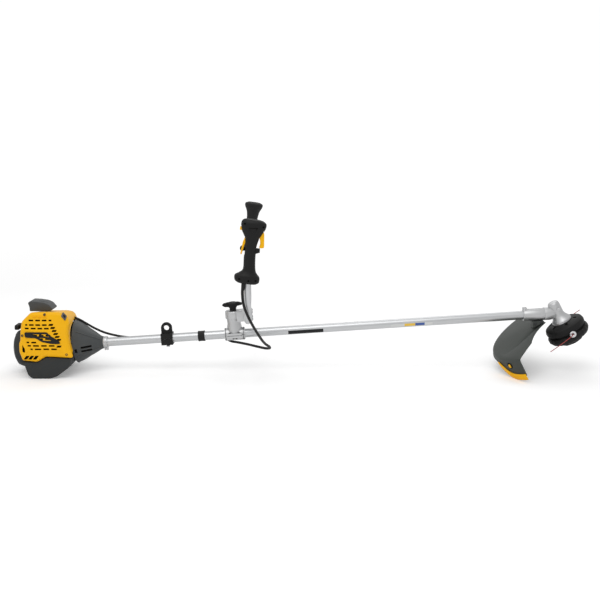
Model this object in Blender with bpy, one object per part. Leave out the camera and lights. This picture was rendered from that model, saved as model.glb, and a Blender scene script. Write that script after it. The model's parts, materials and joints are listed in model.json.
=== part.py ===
"""A petrol string trimmer with a bull handlebar, modelled as its separate pieces.

World frame: +X from the engine to the cutting head, +Y to the operator's left, +Z up. The origin is
the centre of the fuel tank's flat foot, which stands on the floor. All sizes are in metres.
"""

from math import atan2, cos, pi, radians, sin

import bmesh
import bpy
from mathutils import Matrix, Vector

# Driving dimensions
GAP = 0.0003
CRANK_HEIGHT = 0.081
SHAFT_TILT = radians(3.8)
TUBE_RADIUS = 0.014
TUBE_WALL = 0.0015
TUBE_START = 0.152
TUBE_END = 1.560
GEAR_CENTRE = Vector((1.629, 0.0, 0.189))
HEAD_TILT = radians(30)
CRANK_THROW = 0.014
ROD_LENGTH = 0.050
BORE_RADIUS = 0.017
CASE_NEAR = -0.107
CASE_SPLIT = 0.058
COLUMN_AT = 0.600
HANDLEBAR_TURN = radians(3.5)
BAR_RADIUS = 0.011
BAR_OFFSET = 0.045
BAR_HEIGHT = 0.060
GRIP_SPREAD = 0.300
GRIP_LEAN = radians(12)
GRIP_FOOT = Vector((0.056, 0.0, 0.212))
PINION_TEETH = 12
WHEEL_TEETH = 17
CONE_DISTANCE = 0.0158
CABLE_RADIUS = 0.004
CABLE_SIDE = 0.0190
CABLE_IN_GRIP = -0.010
HARNESS_HOLE = 0.0085
GUARD_NEAR_EDGE = radians(37)
GUARD_FAR_EDGE = radians(-66)

for old in list(bpy.data.objects):
    bpy.data.objects.remove(old)


# Finishes
def finish(name, colour, roughness, metallic=0.0):
    material = bpy.data.materials.new(name)
    material.use_nodes = True
    shader = material.node_tree.nodes["Principled BSDF"]
    shader.inputs["Base Color"].default_value = (*colour, 1.0)
    shader.inputs["Roughness"].default_value = roughness
    shader.inputs["Metallic"].default_value = metallic
    return material


YELLOW = finish("yellow_plastic", (0.93, 0.50, 0.02), 0.38)
BLACK = finish("charcoal_plastic", (0.045, 0.047, 0.048), 0.5)
RUBBER = finish("black_rubber", (0.03, 0.03, 0.03), 0.7)
GREY = finish("grey_plastic", (0.14, 0.15, 0.14), 0.5)
TUBE_METAL = finish("drawn_aluminium", (0.80, 0.81, 0.82), 0.3, 1.0)
CAST = finish("cast_aluminium", (0.62, 0.63, 0.63), 0.45, 1.0)
STEEL = finish("steel", (0.55, 0.55, 0.56), 0.3, 1.0)
RED_LINE = finish("red_nylon", (0.60, 0.05, 0.05), 0.4)
FOAM = finish("filter_foam", (0.10, 0.10, 0.11), 0.9)


# Frames that carry pieces
def frame(name, location, rotation, parent=None):
    empty = bpy.data.objects.new(name, None)
    bpy.context.collection.objects.link(empty)
    empty.parent = parent
    empty.location = location
    empty.rotation_euler = rotation
    return empty


SHAFT = frame("shaft_frame", (0, 0, CRANK_HEIGHT), (0, -SHAFT_TILT, 0))
HEAD = frame("head_frame", GEAR_CENTRE, (0, -HEAD_TILT, 0))
COLUMN = frame("column_frame", (COLUMN_AT, 0, 0), (0, 0, 0), SHAFT)
SWIVEL = frame("swivel_frame", (0, 0, 0), (0, 0, HANDLEBAR_TURN), COLUMN)
RIGHT = frame("right_grip_frame", GRIP_FOOT - Vector((0, GRIP_SPREAD, 0)), (0, GRIP_LEAN, 0), SWIVEL)
LEFT = frame("left_grip_frame", GRIP_FOOT + Vector((0, GRIP_SPREAD, 0)), (0, GRIP_LEAN, 0), SWIVEL)

ALONG_X = (0, pi / 2, 0)
ALONG_Y = (-pi / 2, 0, 0)


# Shapes
def placed(name, shape, material, parent=None, at=(0, 0, 0), turn=(0, 0, 0), smooth=35):
    """One named solid from a bmesh, with its faces pointing outwards."""
    bmesh.ops.recalc_face_normals(shape, faces=shape.faces)
    mesh = bpy.data.meshes.new(name)
    shape.to_mesh(mesh)
    shape.free()
    piece = bpy.data.objects.new(name, mesh)
    bpy.context.collection.objects.link(piece)
    mesh.materials.append(material)
    mesh.shade_smooth()
    mesh.set_sharp_from_angle(angle=radians(smooth))
    piece.parent = parent
    piece.location = at
    piece.rotation_euler = turn
    return piece


def rings(loops, closed=False):
    """A surface through loops of points; a loop of one point is a tip. Open ends get flat caps."""
    shape = bmesh.new()
    rows = [[shape.verts.new(point) for point in loop] for loop in loops]
    pairs = list(zip(rows, rows[1:]))
    if closed:
        pairs.append((rows[-1], rows[0]))
    for first, second in pairs:
        count = max(len(first), len(second))
        for i in range(count):
            j = (i + 1) % count
            if len(first) == 1:
                shape.faces.new((first[0], second[i], second[j]))
            elif len(second) == 1:
                shape.faces.new((first[i], second[0], first[j]))
            else:
                shape.faces.new((first[i], second[i], second[j], first[j]))
    if not closed:
        for end in (rows[0], rows[-1]):
            if len(end) > 1:
                shape.faces.new(end)
    return shape


def lathe(profile, segments=20, closed=False):
    """A profile of (radius, height) points turned about Z. A closed profile makes a ring."""
    loops = []
    for radius, height in profile:
        if radius == 0:
            loops.append([(0, 0, height)])
            continue
        angles = [2 * pi * i / segments for i in range(segments)]
        loops.append([(radius * cos(a), radius * sin(a), height) for a in angles])
    return rings(loops, closed)


def rod(radius, low, high, segments=16):
    return lathe([(radius, low), (radius, high)], segments)


def ring(inner, outer, low, high, segments=20):
    return lathe([(inner, low), (outer, low), (outer, high), (inner, high)], segments, True)


def slab(outline, low, high, plane="XZ"):
    """A flat outline made thick, along Y for an XZ outline and along Z for an XY one."""
    if plane == "XZ":
        loops = [[(u, depth, v) for u, v in outline] for depth in (low, high)]
    elif plane == "XY":
        loops = [[(u, v, depth) for u, v in outline] for depth in (low, high)]
    else:
        loops = [[(depth, u, v) for u, v in outline] for depth in (low, high)]
    return rings(loops)


def box(low, high):
    corners = [(low[0], low[2]), (high[0], low[2]), (high[0], high[2]), (low[0], high[2])]
    return slab(corners, low[1], high[1])


def several(shapes):
    """Separate shapes in one mesh, for a cutter."""
    whole = bmesh.new()
    for shape in shapes:
        mesh = bpy.data.meshes.new("shape")
        shape.to_mesh(mesh)
        shape.free()
        whole.from_mesh(mesh)
        bpy.data.meshes.remove(mesh)
    return whole


def arc(centre, radius, start, end, steps):
    """Points on an arc; angles in degrees."""
    angles = [radians(start + (end - start) * i / steps) for i in range(steps + 1)]
    return [(centre[0] + radius * cos(a), centre[1] + radius * sin(a)) for a in angles]


def egg(centre, half_x, half_y, height, power=2.0, segments=20):
    """A level loop: an ellipse at power 2, squarer above it."""
    points = []
    for i in range(segments):
        a = 2 * pi * i / segments
        x = abs(cos(a)) ** (2 / power) * (1 if cos(a) >= 0 else -1)
        y = abs(sin(a)) ** (2 / power) * (1 if sin(a) >= 0 else -1)
        points.append((centre + half_x * x, half_y * y, height))
    return points


def helper(shape, piece, operation, at=None, turn=None):
    """A hidden shape that a Boolean adds to or takes from a piece, in the piece's parent's frame."""
    tool = placed(f"{piece.name}_{operation.lower()}", shape, STEEL, piece.parent,
                  piece.location if at is None else at, piece.rotation_euler if turn is None else turn)
    tool.hide_render = True
    tool.display_type = "WIRE"
    modifier = piece.modifiers.new(operation.title(), "BOOLEAN")
    modifier.operation = operation
    modifier.object = tool
    return tool


def cut(piece, shape, at=None, turn=None):
    return helper(shape, piece, "DIFFERENCE", at, turn)


def join(piece, shape, at=None, turn=None):
    return helper(shape, piece, "UNION", at, turn)


def soften(piece, width, segments=2, angle=40):
    modifier = piece.modifiers.new("Soften", "BEVEL")
    modifier.width = width
    modifier.segments = segments
    modifier.limit_method = "ANGLE"
    modifier.angle_limit = radians(angle)


def shell(piece, thickness):
    modifier = piece.modifiers.new("Wall", "SOLIDIFY")
    modifier.thickness = thickness
    modifier.offset = -1
    modifier.use_even_offset = True


def smooth_path(points, steps):
    """A Catmull-Rom curve through the points, with this many steps between neighbours."""
    points = [Vector(p) for p in points]
    padded = [2 * points[0] - points[1], *points, 2 * points[-1] - points[-2]]
    path = []
    for a, b, c, d in zip(padded, padded[1:], padded[2:], padded[3:]):
        for i in range(steps):
            t = i / steps
            path.append(0.5 * (2 * b + (c - a) * t + (2 * a - 5 * b + 4 * c - d) * t * t
                               + (3 * b - a - 3 * c + d) * t ** 3))
    return [*path, points[-1]]


def cord(name, path, radius, material, parent=None, resolution=2):
    """A round bar or cord along a path of points."""
    curve = bpy.data.curves.new(name, "CURVE")
    curve.dimensions = "3D"
    curve.bevel_depth = radius
    curve.bevel_resolution = resolution
    curve.use_fill_caps = True
    spline = curve.splines.new("POLY")
    spline.points.add(len(path) - 1)
    for point, place in zip(spline.points, path):
        point.co = (*place, 1)
    curve.materials.append(material)
    piece = bpy.data.objects.new(name, curve)
    bpy.context.collection.objects.link(piece)
    piece.parent = parent
    return piece


# Engine: crank train
WEB_RADIUS = 0.0205
ROD_HALF = 0.005
CASE_INSIDE = 0.0252
CASE_OUTSIDE = 0.030
CYLINDER_FOOT = 0.030
PIN_RADIUS = 0.005
WRIST_RADIUS = 0.004


def crank_train():
    web_start = ROD_HALF + GAP
    web_end = web_start + 0.006
    placed("crankshaft_front", lathe([(0, web_start), (WEB_RADIUS, web_start), (WEB_RADIUS, web_end),
                                      (0.008, web_end), (0.008, 0.014), (0.006, 0.015), (0.006, 0.074),
                                      (0, 0.074)], 24), STEEL, SHAFT, turn=ALONG_X)
    placed("crankshaft_rear", lathe([(0, -0.066), (0.006, -0.066), (0.006, -0.015), (0.008, -0.014),
                                     (0.008, -web_end), (WEB_RADIUS, -web_end),
                                     (WEB_RADIUS, -web_start), (0, -web_start)], 24),
           STEEL, SHAFT, turn=ALONG_X)
    wrist = CRANK_THROW + ROD_LENGTH
    big_eye = 0.0085
    small_eye = 0.0065
    outline = arc((0, CRANK_THROW), big_eye, 120, 420, 16) + arc((0, wrist), small_eye, -60, 240, 14)
    conrod = placed("connecting_rod", slab(outline, -0.0045, 0.0045, "YZ"),
                    CAST, SHAFT)
    join(conrod, rod(PIN_RADIUS, -ROD_HALF, ROD_HALF, 16), (0, 0, CRANK_THROW), ALONG_X)
    join(conrod, rod(WRIST_RADIUS, -0.013, 0.013, 16), (0, 0, wrist), ALONG_X)
    crown = wrist + 0.010
    skirt = wrist - 0.011
    wall = 0.0022
    outer = BORE_RADIUS - 0.0003
    grooves = [(outer, crown - 0.0025), (outer - 0.001, crown - 0.0025), (outer - 0.001, crown - 0.004),
               (outer, crown - 0.004)]
    piston = placed("piston", lathe([(0, crown - 0.003), (outer - wall, crown - 0.003),
                                     (outer - wall, skirt), (outer, skirt), *reversed(grooves),
                                     (outer, crown), (0, crown)], 20), CAST, SHAFT)
    cut(piston, rod(WRIST_RADIUS + GAP, -0.03, 0.03, 16), (0, 0, wrist), ALONG_X)


def crankcase():
    body = placed("crankcase", rod(CASE_OUTSIDE, -0.020, 0.020, 24), CAST, SHAFT, turn=ALONG_X)
    seat = 0.024
    join(body, box((-seat + 0.001, -seat, 0.010), (seat - 0.001, seat, CYLINDER_FOOT - GAP)), (0, 0, 0),
         (0, 0, 0))
    join(body, lathe([(0.014, -0.030), (0.014, 0.030)], 20))
    cut(body, rod(CASE_INSIDE, -0.0130, 0.0130, 24))
    cut(body, rod(0.0085, -0.05, 0.05, 20))
    cut(body, rod(BORE_RADIUS + 0.0003, 0.012, 0.05, 28), (0, 0, 0), (0, 0, 0))


FIN_RADIUS = 0.030
CYLINDER_TOP = 0.084


def cylinder():
    outline = [(BORE_RADIUS, CYLINDER_FOOT), (0.0255, CYLINDER_FOOT), (0.0255, CYLINDER_FOOT + 0.004),
               (0.0205, CYLINDER_FOOT + 0.004)]
    fins = 4
    pitch = 0.0105
    for i in range(fins):
        low = CYLINDER_FOOT + 0.009 + i * pitch
        reach = FIN_RADIUS if i < fins - 1 else FIN_RADIUS - 0.003
        outline += [(0.0205, low), (reach, low), (reach, low + 0.0018), (0.0205, low + 0.0018)]
    outline += [(0.0205, CYLINDER_TOP - 0.001), (0.013, CYLINDER_TOP), (0.0053, CYLINDER_TOP),
                (0.0053, CYLINDER_TOP - 0.006), (BORE_RADIUS - 0.002, CYLINDER_TOP - 0.007),
                (BORE_RADIUS, CYLINDER_TOP - 0.0085)]
    body = placed("cylinder", lathe(outline, 20, True), CAST, SHAFT)
    join(body, box((-0.011, -0.0365, 0.044), (0.011, -0.0190, 0.060)))
    join(body, box((-0.010, 0.0190, 0.046), (0.010, 0.0365, 0.062)))
    cut(body, rod(0.006, -0.05, -0.012, 16), (0, 0, 0.052), ALONG_Y)
    cut(body, rod(0.006, 0.012, 0.05, 16), (0, 0, 0.054), ALONG_Y)


def spark_plug():
    foot = CYLINDER_TOP - 0.006
    placed("spark_plug", lathe([(0, foot), (0.005, foot), (0.005, CYLINDER_TOP + GAP), (0.009, CYLINDER_TOP + GAP),
                                (0.009, 0.092), (0.006, 0.093), (0.005, 0.106), (0.0028, 0.107),
                                (0.0028, 0.112), (0, 0.112)], 18), STEEL, SHAFT)


def flywheel():
    inner = 0.030
    tip = 0.049
    blades = 12
    outline = []
    for i in range(blades):
        start = 2 * pi * i / blades
        for radius, turn in ((inner, 0.06), (tip, 0.20), (tip, 0.30), (inner, 0.22)):
            a = start + turn
            outline.append((radius * cos(a), radius * sin(a)))
    wheel = placed("flywheel", slab(outline, 0.034, 0.050, "XY"), CAST, SHAFT, turn=ALONG_X)
    join(wheel, rod(tip, 0.0335, 0.0365, 36))
    cut(wheel, rod(0.006 + GAP, 0.02, 0.06, 20))


def clutch():
    carrier = placed("clutch_shoes", lathe([(0.006 + GAP, 0.060), (0.0215, 0.060), (0.0235, 0.061),
                                            (0.0235, 0.0715), (0.0215, 0.0725), (0.006 + GAP, 0.0725)],
                                           28, True), STEEL, SHAFT, turn=ALONG_X)
    cut(carrier, several([box((-0.030, -0.0012, 0.058), (-0.0125, 0.0012, 0.075)),
                          box((0.0125, -0.0012, 0.058), (0.030, 0.0012, 0.075))]))
    drum = [(0, 0.0765), (0.0245, 0.0765), (0.0245, 0.0585), (0.0270, 0.0585), (0.0270, 0.0790),
            (0.0095, 0.0790), (0.0085, 0.0800), (0.0085, 0.118), (0.0040, 0.118), (0.0040, 0.107), (0, 0.107)]
    placed("clutch_drum", lathe(drum, 20), STEEL, SHAFT, turn=ALONG_X)
    loops = []
    sections = ((0.0945, 0.0100, 0.0690, 0.0690), (0.115, 0.0080, 0.0585, 0.0590),
                (0.135, 0.005, 0.0455, 0.0450), (0.155, 0.0025, 0.0325, 0.0325), (0.169, 0.0005, 0.0225, 0.0225),
                (0.178, 0.0, 0.0190, 0.0190))
    for s, centre, half_y, half_z in sections:
        loops.append([(s, half_y * cos(a), centre + half_z * sin(a))
                      for a in (2 * pi * i / 28 for i in range(28))])
    inside = ((0.178, TUBE_RADIUS + GAP), (0.151, TUBE_RADIUS + GAP), (0.151, 0.0088), (0.0965, 0.0088),
              (0.0965, 0.032), (0.0945, 0.060))
    for s, radius in inside:
        loops.append([(s, radius * cos(a), radius * sin(a)) for a in (2 * pi * i / 28 for i in range(28))])
    housing = placed("clutch_housing", rings(loops, True), BLACK, SHAFT)
    vents = [box((0.108, -0.080, -0.020 - 0.008 * i), (0.126, -0.044, -0.017 - 0.008 * i))
             for i in range(2)]
    cut(housing, several(vents))


def clamp_ring():
    body = placed("housing_clamp", ring(TUBE_RADIUS + GAP, 0.0185, 0.1785, 0.1905), CAST, SHAFT, turn=ALONG_X)
    join(body, box((0.1785, -0.0045, -0.0255), (0.1905, 0.0045, -0.0150)), (0, 0, 0), (0, 0, 0))
    cut(body, box((0.170, -0.0006, -0.030), (0.200, 0.0006, -0.010)), (0, 0, 0), (0, 0, 0))
    cut(body, rod(0.0018, -0.01, 0.01, 12), (0.1845, 0, -0.0215), ALONG_Y)


# Engine: covers and tank
COVER_OUTLINE = [(-0.020, 0.213), (-0.036, 0.198), (-0.050, 0.184), (-0.056, 0.156), (-0.058, 0.124),
                 (-0.063, 0.112), (-0.063, 0.084), (-0.058, 0.072), (-0.055, 0.059), (-0.009, 0.054),
                 (0.019, 0.071), (0.104, 0.067), (0.094, 0.117), (0.092, 0.143), (0.094, 0.161),
                 (0.099, 0.180), (0.095, 0.197), (0.084, 0.209), (0.062, 0.214)]
COVER_WALL = 0.003


COVER_MIDDLE = (0.015, 0.098)
TAPER_FROM = -0.030
TAPER = 1.45


def tapered(outline, depth):
    """The cover's outline at a depth: it draws in towards its middle on the far side."""
    scale = 1 - TAPER * max(0.0, depth - TAPER_FROM)
    middle_u, middle_v = COVER_MIDDLE
    return [(middle_u + (u - middle_u) * scale, middle_v + (v - middle_v) * (scale if v > middle_v else 1))
            for u, v in outline]


def open_tray(outline, near, far, face_at):
    """Walls along an outline between two depths, closed by a face at one of them."""
    shape = bmesh.new()
    near_row = [shape.verts.new((u, near, v)) for u, v in tapered(outline, near)]
    far_row = [shape.verts.new((u, far, v)) for u, v in tapered(outline, far)]
    count = len(outline)
    for i in range(count):
        j = (i + 1) % count
        shape.faces.new((near_row[i], near_row[j], far_row[j], far_row[i]))
    shape.faces.new(near_row if face_at == near else far_row)
    return shape


def engine_covers():
    cover = placed("engine_cover", open_tray(COVER_OUTLINE, CASE_NEAR, CASE_SPLIT, CASE_NEAR), YELLOW)
    bmesh_outward(cover, (0.02, CASE_NEAR - 1, 0.13))
    soften(cover, 0.014, 3, 60)
    shell(cover, COVER_WALL)
    slots = []
    first_row = 0.187
    row_pitch = 0.0105
    for row in range(9):
        height = first_row - row * row_pitch
        left = -0.030 - 0.003 * min(row, 4) + 0.0035 * max(row - 6, 0)
        for column in range(4):
            start = left + column * 0.0205
            slots.append(box((start, -0.115, height - 0.0020), (start + 0.0150, -0.098, height + 0.0020)))
    for row in range(8):
        height = first_row - 0.012 - row * row_pitch
        start = 0.050 + 0.0028 * row
        slots.append(box((start, -0.115, height - 0.0028), (start + 0.010, -0.098, height + 0.0028)))
    for column in range(3):
        start = -0.043 + 0.015 * column
        slots.append(slab([(start, 0.064), (start + 0.009, 0.064), (start + 0.014, 0.076),
                           (start + 0.006, 0.076)], -0.115, -0.098))
    cut(cover, several(slots))
    cut(cover, rod(0.0725, 0.070, 0.120, 24), SHAFT.location + Vector((0, 0, 0.010)), (0, pi / 2 - SHAFT_TILT, 0))
    cut(cover, rod(0.0520, -0.080, -0.045, 24), SHAFT.location, (0, pi / 2 - SHAFT_TILT, 0))
    cut(cover, box((-0.052, -0.090, 0.045), (0.120, 0.060, 0.0815)))
    for modifier in cover.modifiers:
        if modifier.type == "BOOLEAN":
            modifier.solver = "MANIFOLD"

    filter_cover = placed("air_filter_cover", open_tray(COVER_OUTLINE, CASE_SPLIT + GAP, 0.105, 0.105), BLACK)
    bmesh_outward(filter_cover, (0.02, 1, 0.13))
    soften(filter_cover, 0.014, 3, 60)
    shell(filter_cover, COVER_WALL)
    cut(filter_cover, several([box((-0.026, 0.095, 0.138 + 0.010 * i), (0.056, 0.115, 0.142 + 0.010 * i))
                               for i in range(4)]))
    cut(filter_cover, rod(0.0725, 0.070, 0.120, 24), SHAFT.location + Vector((0, 0, 0.010)),
        (0, pi / 2 - SHAFT_TILT, 0))
    cut(filter_cover, rod(0.0100, 0.09, 0.12, 20), (0.060, 0, 0.092), ALONG_Y)
    cut(filter_cover, rod(0.0034, 0.09, 0.12, 16), (-0.030, 0, 0.110), ALONG_Y)

    hump = [(-0.043, 0.238), (-0.036, 0.243), (-0.010, 0.242), (0.013, 0.239), (0.029, 0.236),
            (0.046, 0.2148), (-0.036, 0.2148), (-0.033, 0.222)]
    top = placed("top_cover", slab(hump, -0.060, 0.010), BLACK)
    soften(top, 0.009, 2)


def bmesh_outward(piece, eye):
    """Turns an open tray's faces so that the one nearest the eye points at it."""
    mesh = piece.data
    face = min(mesh.polygons, key=lambda each: (each.center - Vector(eye)).length)
    if face.normal.dot(Vector(eye) - face.center) < 0:
        mesh.flip_normals()


def fuel_tank():
    outline = [(-0.052, 0.0535), (-0.040, 0.012), (-0.027, 0.0), (0.027, 0.0), (0.050, 0.007), (0.0890, 0.036),
               (0.0955, 0.052), (0.0955, 0.0645), (0.0190, 0.0685), (-0.0088, 0.0515)]
    tank = placed("fuel_tank", slab(outline, -0.098, 0.098), BLACK)
    soften(tank, 0.006, 2, 60)
    cut(tank, box((-0.080, -0.060, 0.0480), (0.120, 0.060, 0.100)))
    cut(tank, box((0.026, -0.056, 0.0310), (0.062, 0.056, 0.100)))
    shell(tank, 0.0025)
    cut(tank, rod(0.0125, 0.080, 0.12, 24), (0.050, 0, 0.036), ALONG_Y)
    placed("fuel_cap", lathe([(0, -0.008), (0.0115, -0.008), (0.0115, GAP), (0.0175, GAP), (0.0175, 0.010),
                              (0.0155, 0.012), (0.004, 0.012), (0.004, 0.015), (0, 0.015)], 20),
           BLACK, None, (0.050, 0.098, 0.036), ALONG_Y)


def inside_the_covers():
    muffler = placed("muffler", box((-0.026, -0.094, 0.030), (0.026, -0.0372, 0.080)), STEEL, SHAFT)
    soften(muffler, 0.004, 2)
    cut(muffler, rod(0.006, -0.090, -0.030, 16), (0, 0, 0.052), ALONG_Y)
    carburettor = placed("carburettor", box((-0.018, 0.0370, 0.034), (0.018, 0.070, 0.072)), CAST, SHAFT)
    cut(carburettor, rod(0.006, 0.030, 0.080, 16), (0, 0, 0.054), ALONG_Y)
    element = placed("air_filter", box((-0.024, 0.0735, 0.022), (0.046, 0.090, 0.084)), FOAM, SHAFT)
    soften(element, 0.003, 1)
    bulb_seat = Vector((0.060, 0.105, 0.092))
    placed("primer_bulb", lathe([(0, -0.0060), (0.0086, -0.0060), (0.0086, 0.0020), (0.0074, 0.0060),
                                 (0.0040, 0.0085), (0, 0.0092)], 20), RUBBER, None, bulb_seat, ALONG_Y)
    lever = placed("choke_lever", lathe([(0, -0.010), (0.0030, -0.010), (0.0030, GAP), (0.0065, GAP),
                                         (0.0065, 0.006), (0, 0.006)], 18), YELLOW, None,
                   (-0.030, 0.105, 0.110), ALONG_Y)
    join(lever, slab([(-0.0045, -0.002), (0.0045, -0.002), (0.0030, 0.024), (-0.0030, 0.024)],
                     0.001, 0.006), lever.location, (0, 0, 0))


def starter():
    dish = [(0, -0.0955), (0.043, -0.0955), (0.047, -0.0910), (0.0485, -0.080), (0.0485, -0.0580),
            (0.0510, -0.0580), (0.0510, -0.0665), (0.0600, -0.0680), (0.0600, -0.080), (0.055, -0.092),
            (0.044, -0.0985), (0, -0.0985)]
    housing = placed("starter_housing", lathe(dish, 28), BLACK, SHAFT, turn=ALONG_X)
    vents = []
    for i in range(8):
        a = 2 * pi * i / 8
        spoke = box((0.024, -0.0022, -0.110), (0.040, 0.0022, -0.090))
        bmesh.ops.rotate(spoke, verts=spoke.verts, matrix=Matrix.Rotation(a, 3, "Z"))
        vents.append(spoke)
    cut(housing, several(vents))
    placed("starter_pulley", lathe([(0.0045, -0.0930), (0.0260, -0.0930), (0.0260, -0.0905), (0.0200, -0.0885),
                                    (0.0200, -0.0845), (0.0260, -0.0825), (0.0260, -0.0800), (0.0045, -0.0800)],
                                   28, True), BLACK, SHAFT, turn=ALONG_X)
    teeth = 8
    outline = []
    for i in range(teeth):
        a = 2 * pi * i / teeth
        outline += [(0.0150 * cos(a), 0.0150 * sin(a)), (0.0195 * cos(a + 0.04), 0.0195 * sin(a + 0.04))]
    ratchet = placed("starter_ratchet", slab(outline, -0.0645, -0.0560, "XY"), STEEL, SHAFT, turn=ALONG_X)
    cut(ratchet, rod(0.006 + GAP, -0.07, -0.05, 20))
    bow = [(-0.024, 0.1450), (-0.021, 0.1375), (0.021, 0.1375), (0.024, 0.1450), (0.021, 0.1525), (-0.021, 0.1525)]
    grip = placed("starter_grip", slab([(y, z) for y, z in bow], -0.0985, -0.0875, "YZ"), BLACK)
    soften(grip, 0.003, 2)
    join(grip, lathe([(0.0070, 0.0), (0.0055, 0.018), (0.0040, 0.0300)], 16), (-0.0890, 0, 0.1450), ALONG_X)


# Drive shaft and tube
def shaft():
    inner = TUBE_RADIUS - TUBE_WALL
    placed("shaft_tube", ring(inner, TUBE_RADIUS, TUBE_START, TUBE_END, 24), TUBE_METAL, SHAFT, turn=ALONG_X)
    placed("drive_shaft", rod(0.0036, 0.1075, 1.5775, 12), STEEL, SHAFT, turn=ALONG_X)
    placed("shaft_liner", ring(0.0041, inner - GAP, 0.160, 1.550, 20), RUBBER, SHAFT, turn=ALONG_X)


def harness_clamp():
    at = 0.383
    eye = 0.0345
    outline = [(-0.0175, 0.0), *reversed(arc((0, eye), 0.0175, 0, 180, 12)), (0.0175, 0.0)]
    body = placed("harness_clamp", box((-0.0185, -0.0180, -0.0190), (0.0185, 0.0180, 0.0175)), BLACK, SHAFT,
                  (at, 0, 0))
    soften(body, 0.004, 2)
    join(body, slab(outline, -0.0040, 0.0040))
    join(body, rod(0.0050, -0.0270, -0.0150, 12))
    cut(body, rod(HARNESS_HOLE, -0.02, 0.02, 24), (at, 0, eye), ALONG_Y)
    cut(body, rod(TUBE_RADIUS + GAP, -0.05, 0.05, 24), turn=ALONG_X)

    clip_at = 0.493
    clip = placed("cable_clip", ring(TUBE_RADIUS + GAP, 0.0165, -0.0075, 0.0075), RUBBER, SHAFT,
                  (clip_at, 0, 0), ALONG_X)
    join(clip, box((-0.0075, 0.0150, -0.0065), (0.0075, 0.0262, 0.0065)), turn=(0, 0, 0))
    cut(clip, rod(CABLE_RADIUS + GAP, -0.02, 0.02, 16), (clip_at, CABLE_SIDE, 0), ALONG_X)
    cut(clip, rod(TUBE_RADIUS + GAP, -0.02, 0.02, 24), (clip_at, 0, 0), ALONG_X)


# Handlebar clamp
def handlebar_clamp():
    half = 0.032
    collar = 0.0200
    lower = placed("clamp_lower", rod(collar, -half, half, 24), CAST, COLUMN, turn=ALONG_X)
    cut(lower, box((-0.05, -0.05, -0.0015), (0.05, 0.05, 0.05)), turn=(0, 0, 0))
    join(lower, several([box((-0.024, -0.0290, -0.0085), (0.024, -0.0180, -0.0015)),
                         box((-0.024, 0.0180, -0.0085), (0.024, 0.0290, -0.0015))]), turn=(0, 0, 0))
    cut(lower, rod(TUBE_RADIUS + GAP, -0.05, 0.05, 24))

    upper = placed("clamp_column", rod(collar, -half, half, 24), CAST, COLUMN, turn=ALONG_X)
    cut(upper, box((-0.05, -0.05, -0.05), (0.05, 0.05, 0.0)), turn=(0, 0, 0))
    join(upper, lathe([(0.0235, 0.004), (0.0235, 0.026), (0.0215, 0.034), (0.0225, 0.0518)], 24),
         turn=(0, 0, 0))
    join(upper, several([box((-0.024, -0.0290, 0.0), (0.024, -0.0180, 0.0070)),
                         box((-0.024, 0.0180, 0.0), (0.024, 0.0290, 0.0070))]), turn=(0, 0, 0))
    cut(upper, rod(TUBE_RADIUS + GAP, -0.05, 0.05, 24))
    cut(upper, rod(0.0045, 0.030, 0.06, 16), turn=(0, 0, 0))
    head = placed("swivel_bracket", lathe([(0.0250, 0.0522), (0.0260, 0.054), (0.0260, 0.0745),
                                           (0.0240, 0.0765)], 24), CAST, SWIVEL)
    join(head, box((0.010, -0.0270, BAR_HEIGHT - 0.0165), (BAR_OFFSET, 0.0270, BAR_HEIGHT + 0.0150)),
         (0, 0, 0))
    cut(head, rod(0.0245, 0.0300, 0.0522, 24))
    cut(head, rod(BAR_RADIUS + GAP, -0.04, 0.04, 28), (BAR_OFFSET, 0, BAR_HEIGHT), ALONG_Y)
    cut(head, rod(0.0045, 0.050, 0.08, 16))
    cap = placed("bar_cap", box((BAR_OFFSET + GAP, -0.0270, BAR_HEIGHT - 0.0165),
                                (BAR_OFFSET + 0.0155, 0.0270, BAR_HEIGHT + 0.0150)), CAST, SWIVEL)
    soften(cap, 0.003, 2)
    cut(cap, rod(BAR_RADIUS + GAP, -0.04, 0.04, 28), (BAR_OFFSET, 0, BAR_HEIGHT), ALONG_Y)

    hub = [(0, 0.0330), (0.0040, 0.0330), (0.0040, 0.0772), (0.0105, 0.0772), (0.0105, 0.084), (0.016, 0.0925),
           (0.016, 0.101), (0.010, 0.1045), (0, 0.105)]
    knob = placed("clamp_knob", lathe(hub, 24), BLACK, COLUMN)
    wing = [(-0.0340, 0.0960), (-0.0250, 0.1020), (-0.0060, 0.1045), (0.0180, 0.1035), (0.0310, 0.0995),
            (0.0300, 0.0940), (0.0140, 0.0915), (0.0, 0.086), (-0.0140, 0.0890), (-0.0260, 0.0900)]
    join(knob, slab(wing, -0.0065, 0.0065))


# Handlebar and grips
def grip_place(side, height):
    """A point on a grip's axis in the swivel frame; side is -1 for the right hand."""
    lean = Vector((sin(GRIP_LEAN), 0, cos(GRIP_LEAN)))
    return GRIP_FOOT + Vector((0, side * GRIP_SPREAD, 0)) + lean * height


def handlebar():
    route = [Vector(p) for p in ((BAR_OFFSET, -0.035, BAR_HEIGHT), (BAR_OFFSET, -0.070, BAR_HEIGHT + 0.001),
                                 (0.047, -0.130, 0.068), (0.049, -0.190, 0.084), (0.050, -0.240, 0.108),
                                 (0.051, -0.275, 0.140), (0.053, -0.294, 0.177))]
    route += [grip_place(-1, height) for height in (0.005, 0.050, 0.098)]
    right = smooth_path(route, 3)
    left = [Vector((p.x, -p.y, p.z)) for p in reversed(right)]
    cord("handlebar_tube", [*left, *right], BAR_RADIUS, TUBE_METAL, SWIVEL, 2)


def grip_loops(sections, power=2.2, segments=20):
    return [egg(centre, half_x, half_y, height, power, segments) for height, centre, half_x, half_y in sections]


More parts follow.
